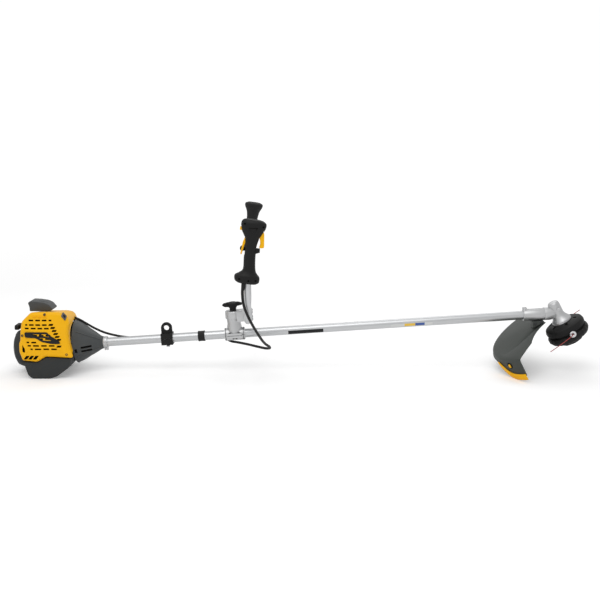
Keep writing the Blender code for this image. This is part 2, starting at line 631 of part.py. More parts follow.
THROTTLE_GRIP = ((0.0, -0.0015, 0.0270, 0.0190), (0.006, -0.0020, 0.0345, 0.0240), (0.020, -0.0030, 0.0350, 0.0245),
                 (0.029, -0.0010, 0.0250, 0.0200), (0.040, 0.0005, 0.0178, 0.0175), (0.070, -0.0025, 0.0165, 0.0170),
                 (0.100, -0.0035, 0.0168, 0.0170), (0.128, -0.0030, 0.0215, 0.0180), (0.145, -0.0035, 0.0300, 0.0205),
                 (0.160, -0.0030, 0.0350, 0.0225), (0.171, -0.0030, 0.0345, 0.0215), (0.178, -0.0050, 0.0270, 0.0160),
                 (0.1805, -0.0060, 0.0150, 0.0080))
POCKET_HALF = 0.0082


def pockets():
    """The room that the levers swing in, and the handlebar's bore."""
    return ((rod(BAR_RADIUS + 0.0012, -0.01, 0.1010, 24), (0, 0, 0)),
            (slab([(0.0060, 0.1013), (0.0450, 0.1013), (0.0450, 0.1300), (0.0250, 0.1545),
                   (0.0090, 0.1545), (0.0060, 0.1450)], -POCKET_HALF, POCKET_HALF), (0, 0, 0)),
            (slab([(-0.0130, 0.0800), (-0.0300, 0.0740), (-0.0330, 0.1230), (-0.0205, 0.1355), (-0.0125, 0.1355),
                   (-0.0125, 0.0950)], -POCKET_HALF, POCKET_HALF), (0, 0, 0)),
            (box((-0.0420, -0.0046, 0.1455), (-0.0270, 0.0046, 0.1595)), (0, 0, 0)),
            (rod(CABLE_RADIUS + GAP, -0.01, 0.010, 16), (CABLE_IN_GRIP, -0.0125, 0)))


def throttle_grip():
    for name, low, high in (("throttle_grip_outer", -0.05, -GAP / 2), ("throttle_grip_inner", GAP / 2, 0.05)):
        half = placed(name, rings(grip_loops(THROTTLE_GRIP)), BLACK, RIGHT, smooth=50)
        keep = box((-0.08, low, -0.05), (0.08, high, 0.25))
        helper(keep, half, "INTERSECT")
        rest = [(0.0080, 0.0840), (0.0235, 0.0910), (0.0225, 0.1010), (0.0080, 0.1010)]
        join(half, slab(rest, max(low, -POCKET_HALF), min(high, POCKET_HALF)))
        for shape, at in pockets():
            cut(half, shape, at)
    for i, (u, h) in enumerate(((-0.024, 0.012), (0.002, 0.010), (0.022, 0.012), (-0.028, 0.166), (0.024, 0.163))):
        well = bpy.data.objects["throttle_grip_outer"]
        cut(well, rod(0.0026, 0.0150 if h < 0.1 else 0.0120, 0.05, 12), (u, 0, h), (pi / 2, 0, 0))

    trigger = [(0.0180, 0.1525), (0.0245, 0.1510), (0.0290, 0.1440), (0.0335, 0.1080), (0.0310, 0.1040),
               (0.0200, 0.1030), (0.0215, 0.1150), (0.0160, 0.1400), (0.0130, 0.1480)]
    lever = placed("throttle_trigger", slab(trigger, -0.0075, 0.0075), YELLOW, RIGHT)
    soften(lever, 0.0018, 2)
    lock = [(-0.0175, 0.1335), (-0.0215, 0.1315), (-0.0270, 0.1150), (-0.0300, 0.0800), (-0.0262, 0.0790),
            (-0.0218, 0.1060), (-0.0155, 0.1260), (-0.0145, 0.1320)]
    catch = placed("lockout_lever", slab(lock, -0.0065, 0.0065), YELLOW, RIGHT)
    soften(catch, 0.0012, 1)
    button = placed("stop_switch", box((-0.0400, -0.0040, 0.1465), (-0.0285, 0.0040, 0.1560)), YELLOW, RIGHT)
    soften(button, 0.0012, 1)
    placed("half_throttle_knob", lathe([(0, 0.0), (0.0055, 0.0), (0.0060, 0.0060), (0.0075, 0.0090),
                                        (0.0075, 0.0140), (0.0060, 0.0160), (0, 0.0160)], 16), BLACK, RIGHT,
           (-0.0170, 0.0117, 0.094), (-pi / 2, 0, radians(50)))


def left_grip():
    sections = [(0.020, 0.0, 0.0175, 0.0175), (0.023, 0.0, 0.0240, 0.0240), (0.028, 0.0, 0.0240, 0.0240),
                (0.033, 0.0, 0.0180, 0.0180), (0.060, 0.0, 0.0172, 0.0172), (0.095, 0.0, 0.0180, 0.0180),
                (0.130, 0.0, 0.0190, 0.0190), (0.152, 0.0, 0.0225, 0.0220), (0.166, 0.0, 0.0290, 0.0280),
                (0.174, 0.0, 0.0310, 0.0300), (0.180, 0.0, 0.0290, 0.0280), (0.184, 0.0, 0.0200, 0.0200)]
    grip = placed("left_grip", rings(grip_loops(sections, 2.0)), RUBBER, LEFT, smooth=50)
    cut(grip, rod(BAR_RADIUS + 0.0012, -0.01, 0.1010, 24))


# Throttle cable

def throttle_cable():
    start = Vector((CABLE_IN_GRIP, -0.0125, 0.002))
    turn = (Matrix.Translation(Vector((0, 0, CRANK_HEIGHT))) @ Matrix.Rotation(-SHAFT_TILT, 4, "Y"))
    swivel = (turn @ Matrix.Translation((COLUMN_AT, 0, 0)) @ Matrix.Rotation(HANDLEBAR_TURN, 4, "Z"))
    grip = (swivel @ Matrix.Translation(GRIP_FOOT - Vector((0, GRIP_SPREAD, 0)))
            @ Matrix.Rotation(GRIP_LEAN, 4, "Y"))
    leave = grip @ start
    below = grip @ (start - Vector((0, 0, 0.030)))
    meet = turn @ Vector((0.560, CABLE_SIDE, -0.006))
    route = [leave, below, Vector((0.650, -0.297, 0.268)), Vector((0.668, -0.262, 0.213)),
             Vector((0.690, -0.205, 0.157)), Vector((0.701, -0.150, 0.126)), Vector((0.7125, -0.110, 0.106)),
             Vector((0.7120, -0.083, 0.0945)), Vector((0.698, -0.061, 0.0885)), Vector((0.672, -0.038, 0.0880)),
             Vector((0.640, -0.016, 0.0900)),
             Vector((0.608, 0.003, 0.0915)), Vector((0.584, 0.0165, 0.0925)),
             Vector((0.567, 0.0215, 0.1015)), meet]
    cord("throttle_cable_loop", smooth_path(route, 3), CABLE_RADIUS, RUBBER)
    along = [turn @ Vector(p) for p in ((0.5550, CABLE_SIDE, -0.0053), (0.530, CABLE_SIDE, -0.001),
                                        (0.493, CABLE_SIDE, 0), (0.440, CABLE_SIDE + 0.002, 0),
                                        (0.400, CABLE_SIDE + 0.0035, 0), (0.365, CABLE_SIDE + 0.0035, 0),
                                        (0.320, CABLE_SIDE, 0.001), (0.260, CABLE_SIDE, 0.006),
                                        (0.220, CABLE_SIDE, 0.014), (0.180, 0.0180, 0.0300),
                                        (0.150, 0.0180, 0.0470), (0.125, 0.0180, 0.0640),
                                        (0.1035, 0.0180, 0.0800))]
    cord("throttle_cable_run", smooth_path(along, 3), CABLE_RADIUS * 0.9, RUBBER)


# Gear case and gears
def bevel_gear(teeth, half_angle, phase, face=0.0060):
    """Loops of a bevel gear about Z with its apex at the origin: tapered teeth on a cone."""
    module = 2 * CONE_DISTANCE * sin(half_angle) / teeth
    loops = []
    for distance in (CONE_DISTANCE, CONE_DISTANCE - face):
        scale = distance / CONE_DISTANCE
        pitch_radius = distance * sin(half_angle)
        pitch_height = distance * cos(half_angle)
        tooth = []
        for lift, width in ((-1.15, 0.25), (0.0, 0.19), (0.7, 0.11)):
            tooth.append((lift * module * scale, width))
        profile = [(lift, -width) for lift, width in tooth] + [(lift, width) for lift, width in reversed(tooth)]
        loop = []
        for i in range(teeth):
            for lift, offset in profile:
                angle = 2 * pi * (i + offset) / teeth + phase
                radius = pitch_radius + lift * cos(half_angle)
                height = pitch_height - lift * sin(half_angle)
                loop.append((radius * cos(angle), radius * sin(angle), height))
        loops.append(loop)
    return loops


def gear_case():
    reach = GEAR_CENTRE.x / cos(SHAFT_TILT)
    shaft_angle = radians(90) - (HEAD_TILT - SHAFT_TILT)
    pinion_angle = atan2(sin(shaft_angle), WHEEL_TEETH / PINION_TEETH + cos(shaft_angle))
    wheel_angle = shaft_angle - pinion_angle
    centre = GEAR_CENTRE
    back = (0, -pi / 2 - SHAFT_TILT, 0)

    pinion = placed("pinion", rings(bevel_gear(PINION_TEETH, pinion_angle, 0.0)),
                    STEEL, None, centre, back)
    join(pinion, lathe([(0, 0.0135), (0.0045, 0.0135), (0.0045, 0.0520), (0.0, 0.0520)], 20))
    wheel = placed("output_gear", rings(bevel_gear(WHEEL_TEETH, wheel_angle, pi + pi / WHEEL_TEETH)),
                   STEEL, HEAD)
    join(wheel, lathe([(0, -0.060), (0.0048, -0.060), (0.0048, 0.0045), (0.0040, 0.0055), (0.0040, 0.0240),
                       (0, 0.0240)], 20))

    neck = [(0.0175, 1.5215), (0.0190, 1.5240), (0.0190, 1.5860), (0.0205, 1.5875), (0.0205, 1.6040),
            (0.0185, 1.6200), (0.0120, 1.6300)]
    case = placed("gear_case", lathe(neck, 24), CAST, SHAFT, turn=ALONG_X)
    tower = [(0.0300, -0.0265), (0.0300, -0.0225), (0.0250, -0.0165), (0.0195, -0.0070), (0.0180, 0.0020),
             (0.0185, 0.0290), (0.0155, 0.0380), (0.0090, 0.0410)]
    join(case, lathe(tower, 24), shaft_local(centre), (0, SHAFT_TILT - HEAD_TILT, 0))
    join(case, box((1.5215, -0.0080, 0.0120), (1.5330, 0.0080, 0.0245)), turn=(0, 0, 0))
    cut(case, box((1.5000, -0.0008, 0.0100), (1.5420, 0.0008, 0.0300)), turn=(0, 0, 0))
    cut(case, rod(TUBE_RADIUS + GAP, 1.500, 1.5610, 24))
    cut(case, rod(0.0115, 1.500, reach + 0.004, 20))
    cut(case, lathe([(0.0128, -0.040), (0.0128, 0.0005), (0.0140, 0.0015), (0.0140, 0.0280)], 28),
        shaft_local(centre), (0, SHAFT_TILT - HEAD_TILT, 0))
    cut(case, rod(0.0019, -0.02, 0.02, 12), (1.5272, 0, 0.0200), ALONG_Y)


def shaft_local(world_point):
    """A world point in the shaft frame."""
    place = Matrix.Translation(Vector((0, 0, CRANK_HEIGHT))) @ Matrix.Rotation(-SHAFT_TILT, 4, "Y")
    return place.inverted() @ Vector(world_point)


# Cutting head
def cutting_head():
    placed("collar_plate", ring(0.0052, 0.0312, -0.0300, -0.0268, 28), STEEL, HEAD)
    upper = [(0.0070, -0.0303), (0.0330, -0.0303), (0.0480, -0.0335), (0.0600, -0.0400), (0.0632, -0.0490),
             (0.0622, -0.0575), (0.0570, -0.0600), (0.0570, -0.0655), (0.0545, -0.0655), (0.0545, -0.0580),
             (0.0590, -0.0550), (0.0600, -0.0480), (0.0570, -0.0425), (0.0470, -0.0370), (0.0330, -0.0340),
             (0.0070, -0.0340)]
    placed("head_housing", lathe(upper, 28, True), BLACK, HEAD)
    lower = [(0.0545, -0.0659), (0.0640, -0.0665), (0.0660, -0.0720), (0.0655, -0.0790), (0.0600, -0.0880),
             (0.0480, -0.0935), (0.0380, -0.0950), (0.0380, -0.0920), (0.0480, -0.0900), (0.0580, -0.0850),
             (0.0625, -0.0780), (0.0625, -0.0720), (0.0545, -0.0690)]
    placed("head_base", lathe(lower, 28, True), BLACK, HEAD)
    placed("line_spool", lathe([(0.0080, -0.0450), (0.0500, -0.0450), (0.0500, -0.0470), (0.0330, -0.0480),
                                (0.0330, -0.0640), (0.0520, -0.0650), (0.0520, -0.0670), (0.0080, -0.0670)],
                               28, True), BLACK, HEAD)
    placed("bump_knob", lathe([(0, -0.1070), (0.0250, -0.1060), (0.0345, -0.1030), (0.0355, -0.0990),
                               (0.0330, -0.0970), (0.0250, -0.0960), (0.0250, -0.0675), (0, -0.0675)], 28),
           BLACK, HEAD)
    height = -0.0628
    near = [(0.0, -0.0600, height), (-0.001, -0.0680, height), (-0.006, -0.0740, height),
            (-0.030, -0.0860, height), (-0.060, -0.0970, height), (-0.092, -0.1060, height)]
    far = [(0.0, 0.0600, height), (0.001, 0.0680, height), (0.006, 0.0740, height),
           (0.030, 0.0860, height), (0.060, 0.0970, height), (0.085, 0.1040, height)]
    cord("cutting_line_near", smooth_path(near, 2), 0.0012, RED_LINE, HEAD)
    cord("cutting_line_far", smooth_path(far, 2), 0.0012, RED_LINE, HEAD)


# Guard
def guard_point(rho, theta, drop):
    """A point by distance from the head's axis, angle from straight back, and drop along the axis."""
    return Vector((-rho * cos(theta), -rho * sin(theta), -drop))


def guard_low(theta):
    """How far down the skirt's lower edge lies, before the extension."""
    degrees = theta * 180 / pi
    deep = 1 / (1 + 2.718 ** (-(degrees - 16) / 3.5))
    return 0.036 + 0.043 * deep


GUARD_RIM = 0.240
GUARD_ROOT = 0.052
CLIP_ANGLE = radians(26)


def guard_rows(rim=GUARD_RIM, columns=16):
    rows = []
    for i in range(columns + 1):
        theta = GUARD_FAR_EDGE + (GUARD_NEAR_EDGE - GUARD_FAR_EDGE) * i / columns
        valley = 0.019 * 2.718 ** (-abs(theta - radians(13)) / radians(9))
        row = []
        for k in range(6):
            t = k / 5
            rho = GUARD_ROOT + (rim - 0.012 - GUARD_ROOT) * t
            spread = theta * (0.45 + 0.55 * min(1.0, t * 1.6))
            drop = 0.002 + 0.018 * t * t + valley * (1 - t) * t * 2.2
            row.append(guard_point(rho, spread, drop))
        row.append(guard_point(rim - 0.003, theta, 0.0235))
        row.append(guard_point(rim, theta, 0.031))
        row.append(guard_point(rim + 0.003, theta, guard_low(theta)))
        rows.append(row)
    return rows


def guard():
    shape = bmesh.new()
    rows = [[shape.verts.new(p) for p in row] for row in guard_rows()]
    for first, second in zip(rows, rows[1:]):
        for a, b, c, d in zip(first, first[1:], second[1:], second):
            shape.faces.new((a, b, c, d))
    body = placed("guard", shape, GREY, HEAD, smooth=50)
    up = max(body.data.polygons, key=lambda face: -face.center.length)
    if up.normal.z < 0:
        body.data.flip_normals()
    shell(body, 0.003)

    opening = egg(0, 0.0125, 0.0085, 0)
    oval = rings([[(x, y, depth) for x, y, _ in opening] for depth in (-0.02, 0.02)])
    clip_at = guard_point(GUARD_RIM + 0.002, CLIP_ANGLE, 0.043)
    cut(body, oval, clip_at, (pi / 2, 0, pi / 2 + CLIP_ANGLE))

    start = radians(9)
    steps = 12
    angles = [start + (GUARD_NEAR_EDGE - start) * i / steps for i in range(steps + 1)]
    inner = GUARD_RIM + 0.0036
    outer = inner + 0.0030
    reach = min((GEAR_CENTRE.z - outer * cos(a) * sin(HEAD_TILT)) / cos(HEAD_TILT) - guard_low(a) for a in angles)
    loops = []
    for a in angles:
        high = guard_low(a) - 0.007
        low = guard_low(a) + reach * min(1.0, (a - start) / radians(6) + 0.35)
        loops.append([guard_point(inner, a, high), guard_point(outer, a, high), guard_point(outer, a, low),
                      guard_point(inner, a, low)])
    placed("guard_extension", rings(loops), YELLOW, HEAD, smooth=50)

    wedge = [(1.548, -0.0195), (1.5845, -0.0195), (1.5845, -0.0240), (1.548, -0.0415)]
    bracket = placed("guard_bracket", slab(wedge, -0.0180, 0.0180), CAST, SHAFT)
    soften(bracket, 0.0015, 1)
    blade = box((-0.2355, -0.0008, -0.0600), (-0.2080, 0.0008, -0.0470))
    placed("line_cutter", blade, STEEL, HEAD, turn=(0, 0, radians(34.5)))


crank_train()
crankcase()
cylinder()
spark_plug()
flywheel()
clutch()
clamp_ring()
engine_covers()
fuel_tank()
inside_the_covers()
starter()
shaft()
harness_clamp()
handlebar_clamp()
handlebar()
throttle_grip()
left_grip()
throttle_cable()
gear_case()
cutting_head()
guard()
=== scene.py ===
"""The finished look of a petrol string trimmer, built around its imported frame.

Every new piece is a surface worked out with numpy in one of the machine's own frames. Sizes are in
metres, +X runs from the engine to the cutting head, +Y is the operator's left and +Z is up.
"""

import json
from math import radians

import bmesh
import bpy
import numpy as np
from mathutils import Matrix


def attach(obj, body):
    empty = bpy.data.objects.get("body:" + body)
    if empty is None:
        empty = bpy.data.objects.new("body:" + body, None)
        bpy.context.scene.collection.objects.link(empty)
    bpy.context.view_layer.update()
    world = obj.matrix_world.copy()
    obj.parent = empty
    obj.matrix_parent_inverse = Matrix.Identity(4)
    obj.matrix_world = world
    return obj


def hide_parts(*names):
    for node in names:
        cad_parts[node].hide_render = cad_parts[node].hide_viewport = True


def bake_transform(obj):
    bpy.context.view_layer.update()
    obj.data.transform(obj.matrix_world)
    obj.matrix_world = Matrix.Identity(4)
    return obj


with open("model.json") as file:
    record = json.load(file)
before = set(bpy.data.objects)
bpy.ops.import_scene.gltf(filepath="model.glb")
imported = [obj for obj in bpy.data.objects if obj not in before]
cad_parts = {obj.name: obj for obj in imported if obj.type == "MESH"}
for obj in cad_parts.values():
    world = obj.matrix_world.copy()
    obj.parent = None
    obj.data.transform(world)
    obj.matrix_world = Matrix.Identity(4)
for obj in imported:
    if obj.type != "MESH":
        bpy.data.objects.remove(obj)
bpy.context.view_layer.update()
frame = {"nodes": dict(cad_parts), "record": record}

bl_info = {
    "name": "String trimmer",
    "version": (1, 0, 0),
    "blender": (4, 5, 0),
    "location": "3D View > Sidebar > Trimmer",
    "description": "Builds the visible pieces of a petrol string trimmer",
    "category": "Object",
}


# Places
def shifted(x, y, z):
    place = np.eye(4)
    place[:3, 3] = x, y, z
    return place


def turned(axis, degrees):
    return np.array(Matrix.Rotation(radians(degrees), 4, axis))


WORLD = np.eye(4)
ALONG_X = turned("Y", 90)
ALONG_Y = turned("X", -90)
SHAFT_TILT = 3.8
CRANK_HEIGHT = 0.081
SHAFT = shifted(0, 0, CRANK_HEIGHT) @ turned("Y", -SHAFT_TILT)
COLUMN = SHAFT @ shifted(0.600, 0, 0)
SWIVEL = COLUMN @ turned("Z", 3.5)
GRIP_FOOT = np.array([0.056, 0.0, 0.212])
GRIP_SPREAD = np.array([0.0, 0.300, 0.0])
GRIP_LEAN = 12
RIGHT = SWIVEL @ shifted(*(GRIP_FOOT - GRIP_SPREAD)) @ turned("Y", GRIP_LEAN)
LEFT = SWIVEL @ shifted(*(GRIP_FOOT + GRIP_SPREAD)) @ turned("Y", GRIP_LEAN)
GEAR_CENTRE = (1.629, 0.0, 0.189)
HEAD_TILT = 30
HEAD = shifted(*GEAR_CENTRE) @ turned("Y", -HEAD_TILT)
TUBE_RADIUS = 0.014
BAR_RADIUS = 0.011
CLEAR = 0.0003


# Surfaces: each is an array of points and a list of faces
def angles(segments):
    return np.linspace(0, 2 * np.pi, segments, endpoint=False)[None, :]


def woven(grid, ring=False):
    """Quads between neighbouring rows of a grid whose rows are closed loops. The two end loops get flat
    faces, or the last row joins the first where the surface is a ring."""
    rows, columns = grid.shape[:2]
    index = np.arange(rows * columns).reshape(rows, columns)
    beside = np.roll(index, -1, axis=1)
    above = np.roll(index, -1, axis=0)
    quads = np.stack([index, beside, np.roll(beside, -1, axis=0), above], axis=-1)
    if not ring:
        quads = quads[:-1]
    faces = quads.reshape(-1, 4).tolist()
    if not ring:
        faces += [index[0][::-1].tolist(), index[-1].tolist()]
    return grid.reshape(-1, 3), faces


def patch(grid):
    """Quads over an open grid."""
    rows, columns = grid.shape[:2]
    index = np.arange(rows * columns).reshape(rows, columns)
    quads = np.stack([index[:-1, :-1], index[:-1, 1:], index[1:, 1:], index[1:, :-1]], axis=-1)
    return grid.reshape(-1, 3), quads.reshape(-1, 4).tolist()


def lathe(profile, segments=64, ring=False, flutes=0, depth=0.0):
    """A profile of radius r and height h turned about Z: x = r cos a, y = r sin a, z = h, where flutes
    make r grow and shrink by a share of itself as the cosine of a whole number of turns."""
    radius, height = np.array(profile, float).T[:, :, None]
    a = angles(segments)
    radius = radius * (1 + depth * np.cos(flutes * a))
    return woven(np.stack([radius * np.cos(a), radius * np.sin(a), height + 0 * a], axis=-1), ring)


def rod(radius, low, high, segments=40):
    return lathe([(radius, low), (radius, high)], segments)


def rounded(outline, reach=0.004, count=160):
    """A closed outline walked in even steps, each point the mean of those within reach along it."""
    points = np.array(outline, float)
    closed = np.vstack([points, points[:1]])
    walked = np.r_[0, np.cumsum(np.hypot(*np.diff(closed, axis=0).T))]
    stops = np.linspace(0, walked[-1], count, endpoint=False)
    even = np.stack([np.interp(stops, walked, closed[:, k]) for k in (0, 1)], axis=1)
    window = max(1, round(reach * count / walked[-1]))
    return np.mean([np.roll(even, k, axis=0) for k in range(-window, window + 1)], axis=0)


def slab(outline, low, high, plane="XZ"):
    """A flat outline made thick between two depths along the axis square to its plane."""
    u, v = np.array(outline, float).T[:, None, :]
    depth = np.array([low, high])[:, None] + 0 * u
    u, v = u + 0 * depth, v + 0 * depth
    return woven(np.stack({"XZ": (u, depth, v), "XY": (u, v, depth), "YZ": (depth, u, v)}[plane], axis=-1))


def block(low, high):
    return slab([(low[0], low[2]), (high[0], low[2]), (high[0], high[2]), (low[0], high[2])], low[1], high[1])


def smooth_path(points, steps=8):
    """A Catmull-Rom curve through rows of numbers, with this many steps between neighbours."""
    p = np.array(points, float)
    p = np.vstack([2 * p[0] - p[1], p, 2 * p[-1] - p[-2]])
    t = np.linspace(0, 1, steps, endpoint=False)[None, :, None]
    a, b, c, d = p[:-3, None], p[1:-2, None], p[2:-1, None], p[3:, None]
    curve = 0.5 * (2 * b + (c - a) * t + (2 * a - 5 * b + 4 * c - d) * t ** 2
                   + (3 * b - a - 3 * c + d) * t ** 3)
    return np.vstack([curve.reshape(-1, p.shape[1]), p[-2:-1]])


def unit(vectors):
    return vectors / np.linalg.norm(vectors, axis=-1, keepdims=True)


def tube(path, radius, segments=24, across=(0, 0, 1)):
    """A circle carried along a path: it lies square to the path's direction, and its first radius is
    the cross product of that direction with one fixed direction."""
    path = np.array(path, float)
    along = unit(np.gradient(path, axis=0))
    side = unit(np.cross(along, across))
    other = np.cross(side, along)
    a = angles(segments)[:, :, None]
    return woven(path[:, None] + radius * (np.cos(a) * side[:, None] + np.sin(a) * other[:, None]))


def loft(sections, power=2.0, segments=64, steps=6):
    """Sections of (height, centre, half width in X, half width in Y) joined by smooth curves. Each loop is
    |x/a|^n + |y/b|^n = 1, an ellipse at power 2 and squarer above it."""
    height, centre, half_x, half_y = smooth_path(sections, steps).T[:, :, None]
    a = angles(segments)
    x = np.sign(np.cos(a)) * np.abs(np.cos(a)) ** (2 / power)
    y = np.sign(np.sin(a)) * np.abs(np.sin(a)) ** (2 / power)
    return woven(np.stack([centre + half_x * x, half_y * y, height + 0 * a], axis=-1))


COVER_MIDDLE = np.array([0.015, 0.098])
JOIN_SCALE = 0.76
FAR_SCALE = 0.62


def narrowed(loops, scale):
    """Loops of (x, z) drawn in towards the cover's middle by a scale each, below the middle only in x."""
    away = loops - COVER_MIDDLE
    scale = np.asarray(scale)[:, None]
    across = away[..., 0] * scale
    return COVER_MIDDLE + np.stack([across, np.where(away[..., 1] > 0, away[..., 1] * scale, away[..., 1])],
                                   axis=-1)


def tray(outline, open_at, face_at, edge, crown, open_scale=1.0, face_scale=1.0):
    """An open box over an outline: walls that narrow evenly from one depth to the other, a quarter-round
    edge, and a face whose height over its rim is crown times one less the square of the share of the way
    out from its middle."""
    middle = outline.mean(axis=0)
    reach = outline - middle
    length = np.linalg.norm(reach, axis=1, keepdims=True)
    way = np.sign(face_at - open_at)
    wall = np.linspace(open_at, face_at - way * edge, 5)[:-1]
    bend = np.linspace(0, np.pi / 2, 7)
    share = np.linspace(1, 0, 14)[1:]
    inset = np.r_[0 * wall, edge * (1 - np.cos(bend)), 0 * share + edge]
    depth = np.r_[wall, face_at - way * edge * (1 - np.sin(bend)), face_at + way * crown * (1 - share ** 2)]
    scale = np.r_[0 * wall + 1, 0 * bend + 1, share]
    loops = middle + (reach * (1 - inset[:, None, None] / length)) * scale[:, None, None]
    gone = np.clip((depth - open_at) / (face_at - open_at), 0, 1)
    loops = narrowed(loops, open_scale + (face_scale - open_scale) * gone)
    grid = np.stack([loops[..., 0], np.repeat(depth[:, None], len(outline), axis=1), loops[..., 1]], axis=-1)
    points, faces = woven(grid)
    return points, faces[:-2]


def moved(surface, place):
    points, faces = surface
    return points @ place[:3, :3].T + place[:3, 3], faces


def together(surfaces):
    """Several surfaces as one, each one's faces counted on from the last one's points."""
    surfaces = list(surfaces)
    starts = np.cumsum([0] + [len(points) for points, _ in surfaces])
    faces = [[i + int(start) for i in face] for (_, group), start in zip(surfaces, starts) for face in group]
    return np.vstack([points for points, _ in surfaces]), faces


# Pieces
def solid(name, surface):
    """A surface as an object, with poles and seams closed and its faces turned outwards."""
    points, faces = surface
    mesh = bpy.data.meshes.new(name)
    mesh.from_pydata(points.tolist(), [], faces)
    work = bmesh.new()
    work.from_mesh(mesh)
    bmesh.ops.remove_doubles(work, verts=work.verts, dist=2e-6)
    bmesh.ops.recalc_face_normals(work, faces=work.faces)
    work.to_mesh(mesh)
    work.free()
    piece = bpy.data.objects.new(name, mesh)
    bpy.context.scene.collection.objects.link(piece)
    return piece


def settle(piece):
    """The piece's modifiers become its mesh."""
    graph = bpy.context.evaluated_depsgraph_get()
    mesh = bpy.data.meshes.new_from_object(piece.evaluated_get(graph))
    rough = piece.data
    piece.modifiers.clear()
    piece.data = mesh
    bpy.data.meshes.remove(rough)
    if not mesh.polygons:
        raise RuntimeError(f"{piece.name} has no faces left")


def carve(piece, surface, operation):
    tool = solid(f"{piece.name}_tool", surface)
    modifier = piece.modifiers.new("Carve", "BOOLEAN")
    modifier.operation = operation
    modifier.solver = "MANIFOLD"
    modifier.object = tool
    settle(piece)
    shape = tool.data
    bpy.data.objects.remove(tool)
    bpy.data.meshes.remove(shape)


def build(name, surface, finish, body, at=WORLD, add=(), cut=(), wall=0.0, bevel=0.0, rounds=3, sharp=32,
          stands_for=()):
    """One finished piece: a surface given its wall, what is joined to it and cut from it, and rounded
    edges, then put in its frame, finished, and set to ride on its body."""
    piece = solid(name, surface)
    if wall:
        modifier = piece.modifiers.new("Wall", "SOLIDIFY")
        modifier.thickness = wall
        modifier.offset = -1
        modifier.use_even_offset = True
        settle(piece)
    for extra in add:
        carve(piece, extra, "UNION")
    for hole in cut:
        carve(piece, hole, "DIFFERENCE")
    if bevel:
        modifier = piece.modifiers.new("Edges", "BEVEL")
        modifier.width = bevel
        modifier.segments = rounds
        modifier.limit_method = "ANGLE"
        modifier.angle_limit = radians(sharp)
        settle(piece)
    mesh = piece.data
    mesh.transform(Matrix(at))
    mesh.materials.clear()
    mesh.materials.append(bpy.data.materials[finish])
    mesh.shade_smooth()
    mesh.set_sharp_from_angle(angle=radians(sharp))
    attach(piece, body)
    if stands_for:
        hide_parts(*stands_for)
    return piece


def screw(radius, height):
    """A socket-head screw about Z with its face at the given height."""
    hole = radius * 0.52
    return lathe([(0, height - 0.006), (radius, height - 0.006), (radius, height - radius * 0.15),
                  (radius * 0.86, height), (hole, height), (hole, height - radius * 0.7),
                  (0, height - radius * 0.7)], 24)


# Finishes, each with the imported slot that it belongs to
DUST_COLOUR = (0.52, 0.50, 0.46, 1)


def node_group(name, inputs, outputs):
    group = bpy.data.node_groups.new(name, "ShaderNodeTree")
    for label, kind, default in inputs:
        socket = group.interface.new_socket(name=label, in_out="INPUT", socket_type=f"NodeSocket{kind}")
        socket.default_value = default
    for label, kind in outputs:
        group.interface.new_socket(name=label, in_out="OUTPUT", socket_type=f"NodeSocket{kind}")
    return group, group.nodes.new("NodeGroupInput"), group.nodes.new("NodeGroupOutput")


def add_node(tree, kind, links=(), **settings):
    """A node with its settings and what feeds its inputs: a number, a colour or another node's output."""
    node = tree.nodes.new(kind)
    for key, value in settings.items():
        setattr(node, key, value)
    for key, source in links:
        if isinstance(source, bpy.types.NodeSocket):
            tree.links.new(source, node.inputs[key])
        else:
            node.inputs[key].default_value = source
    return node


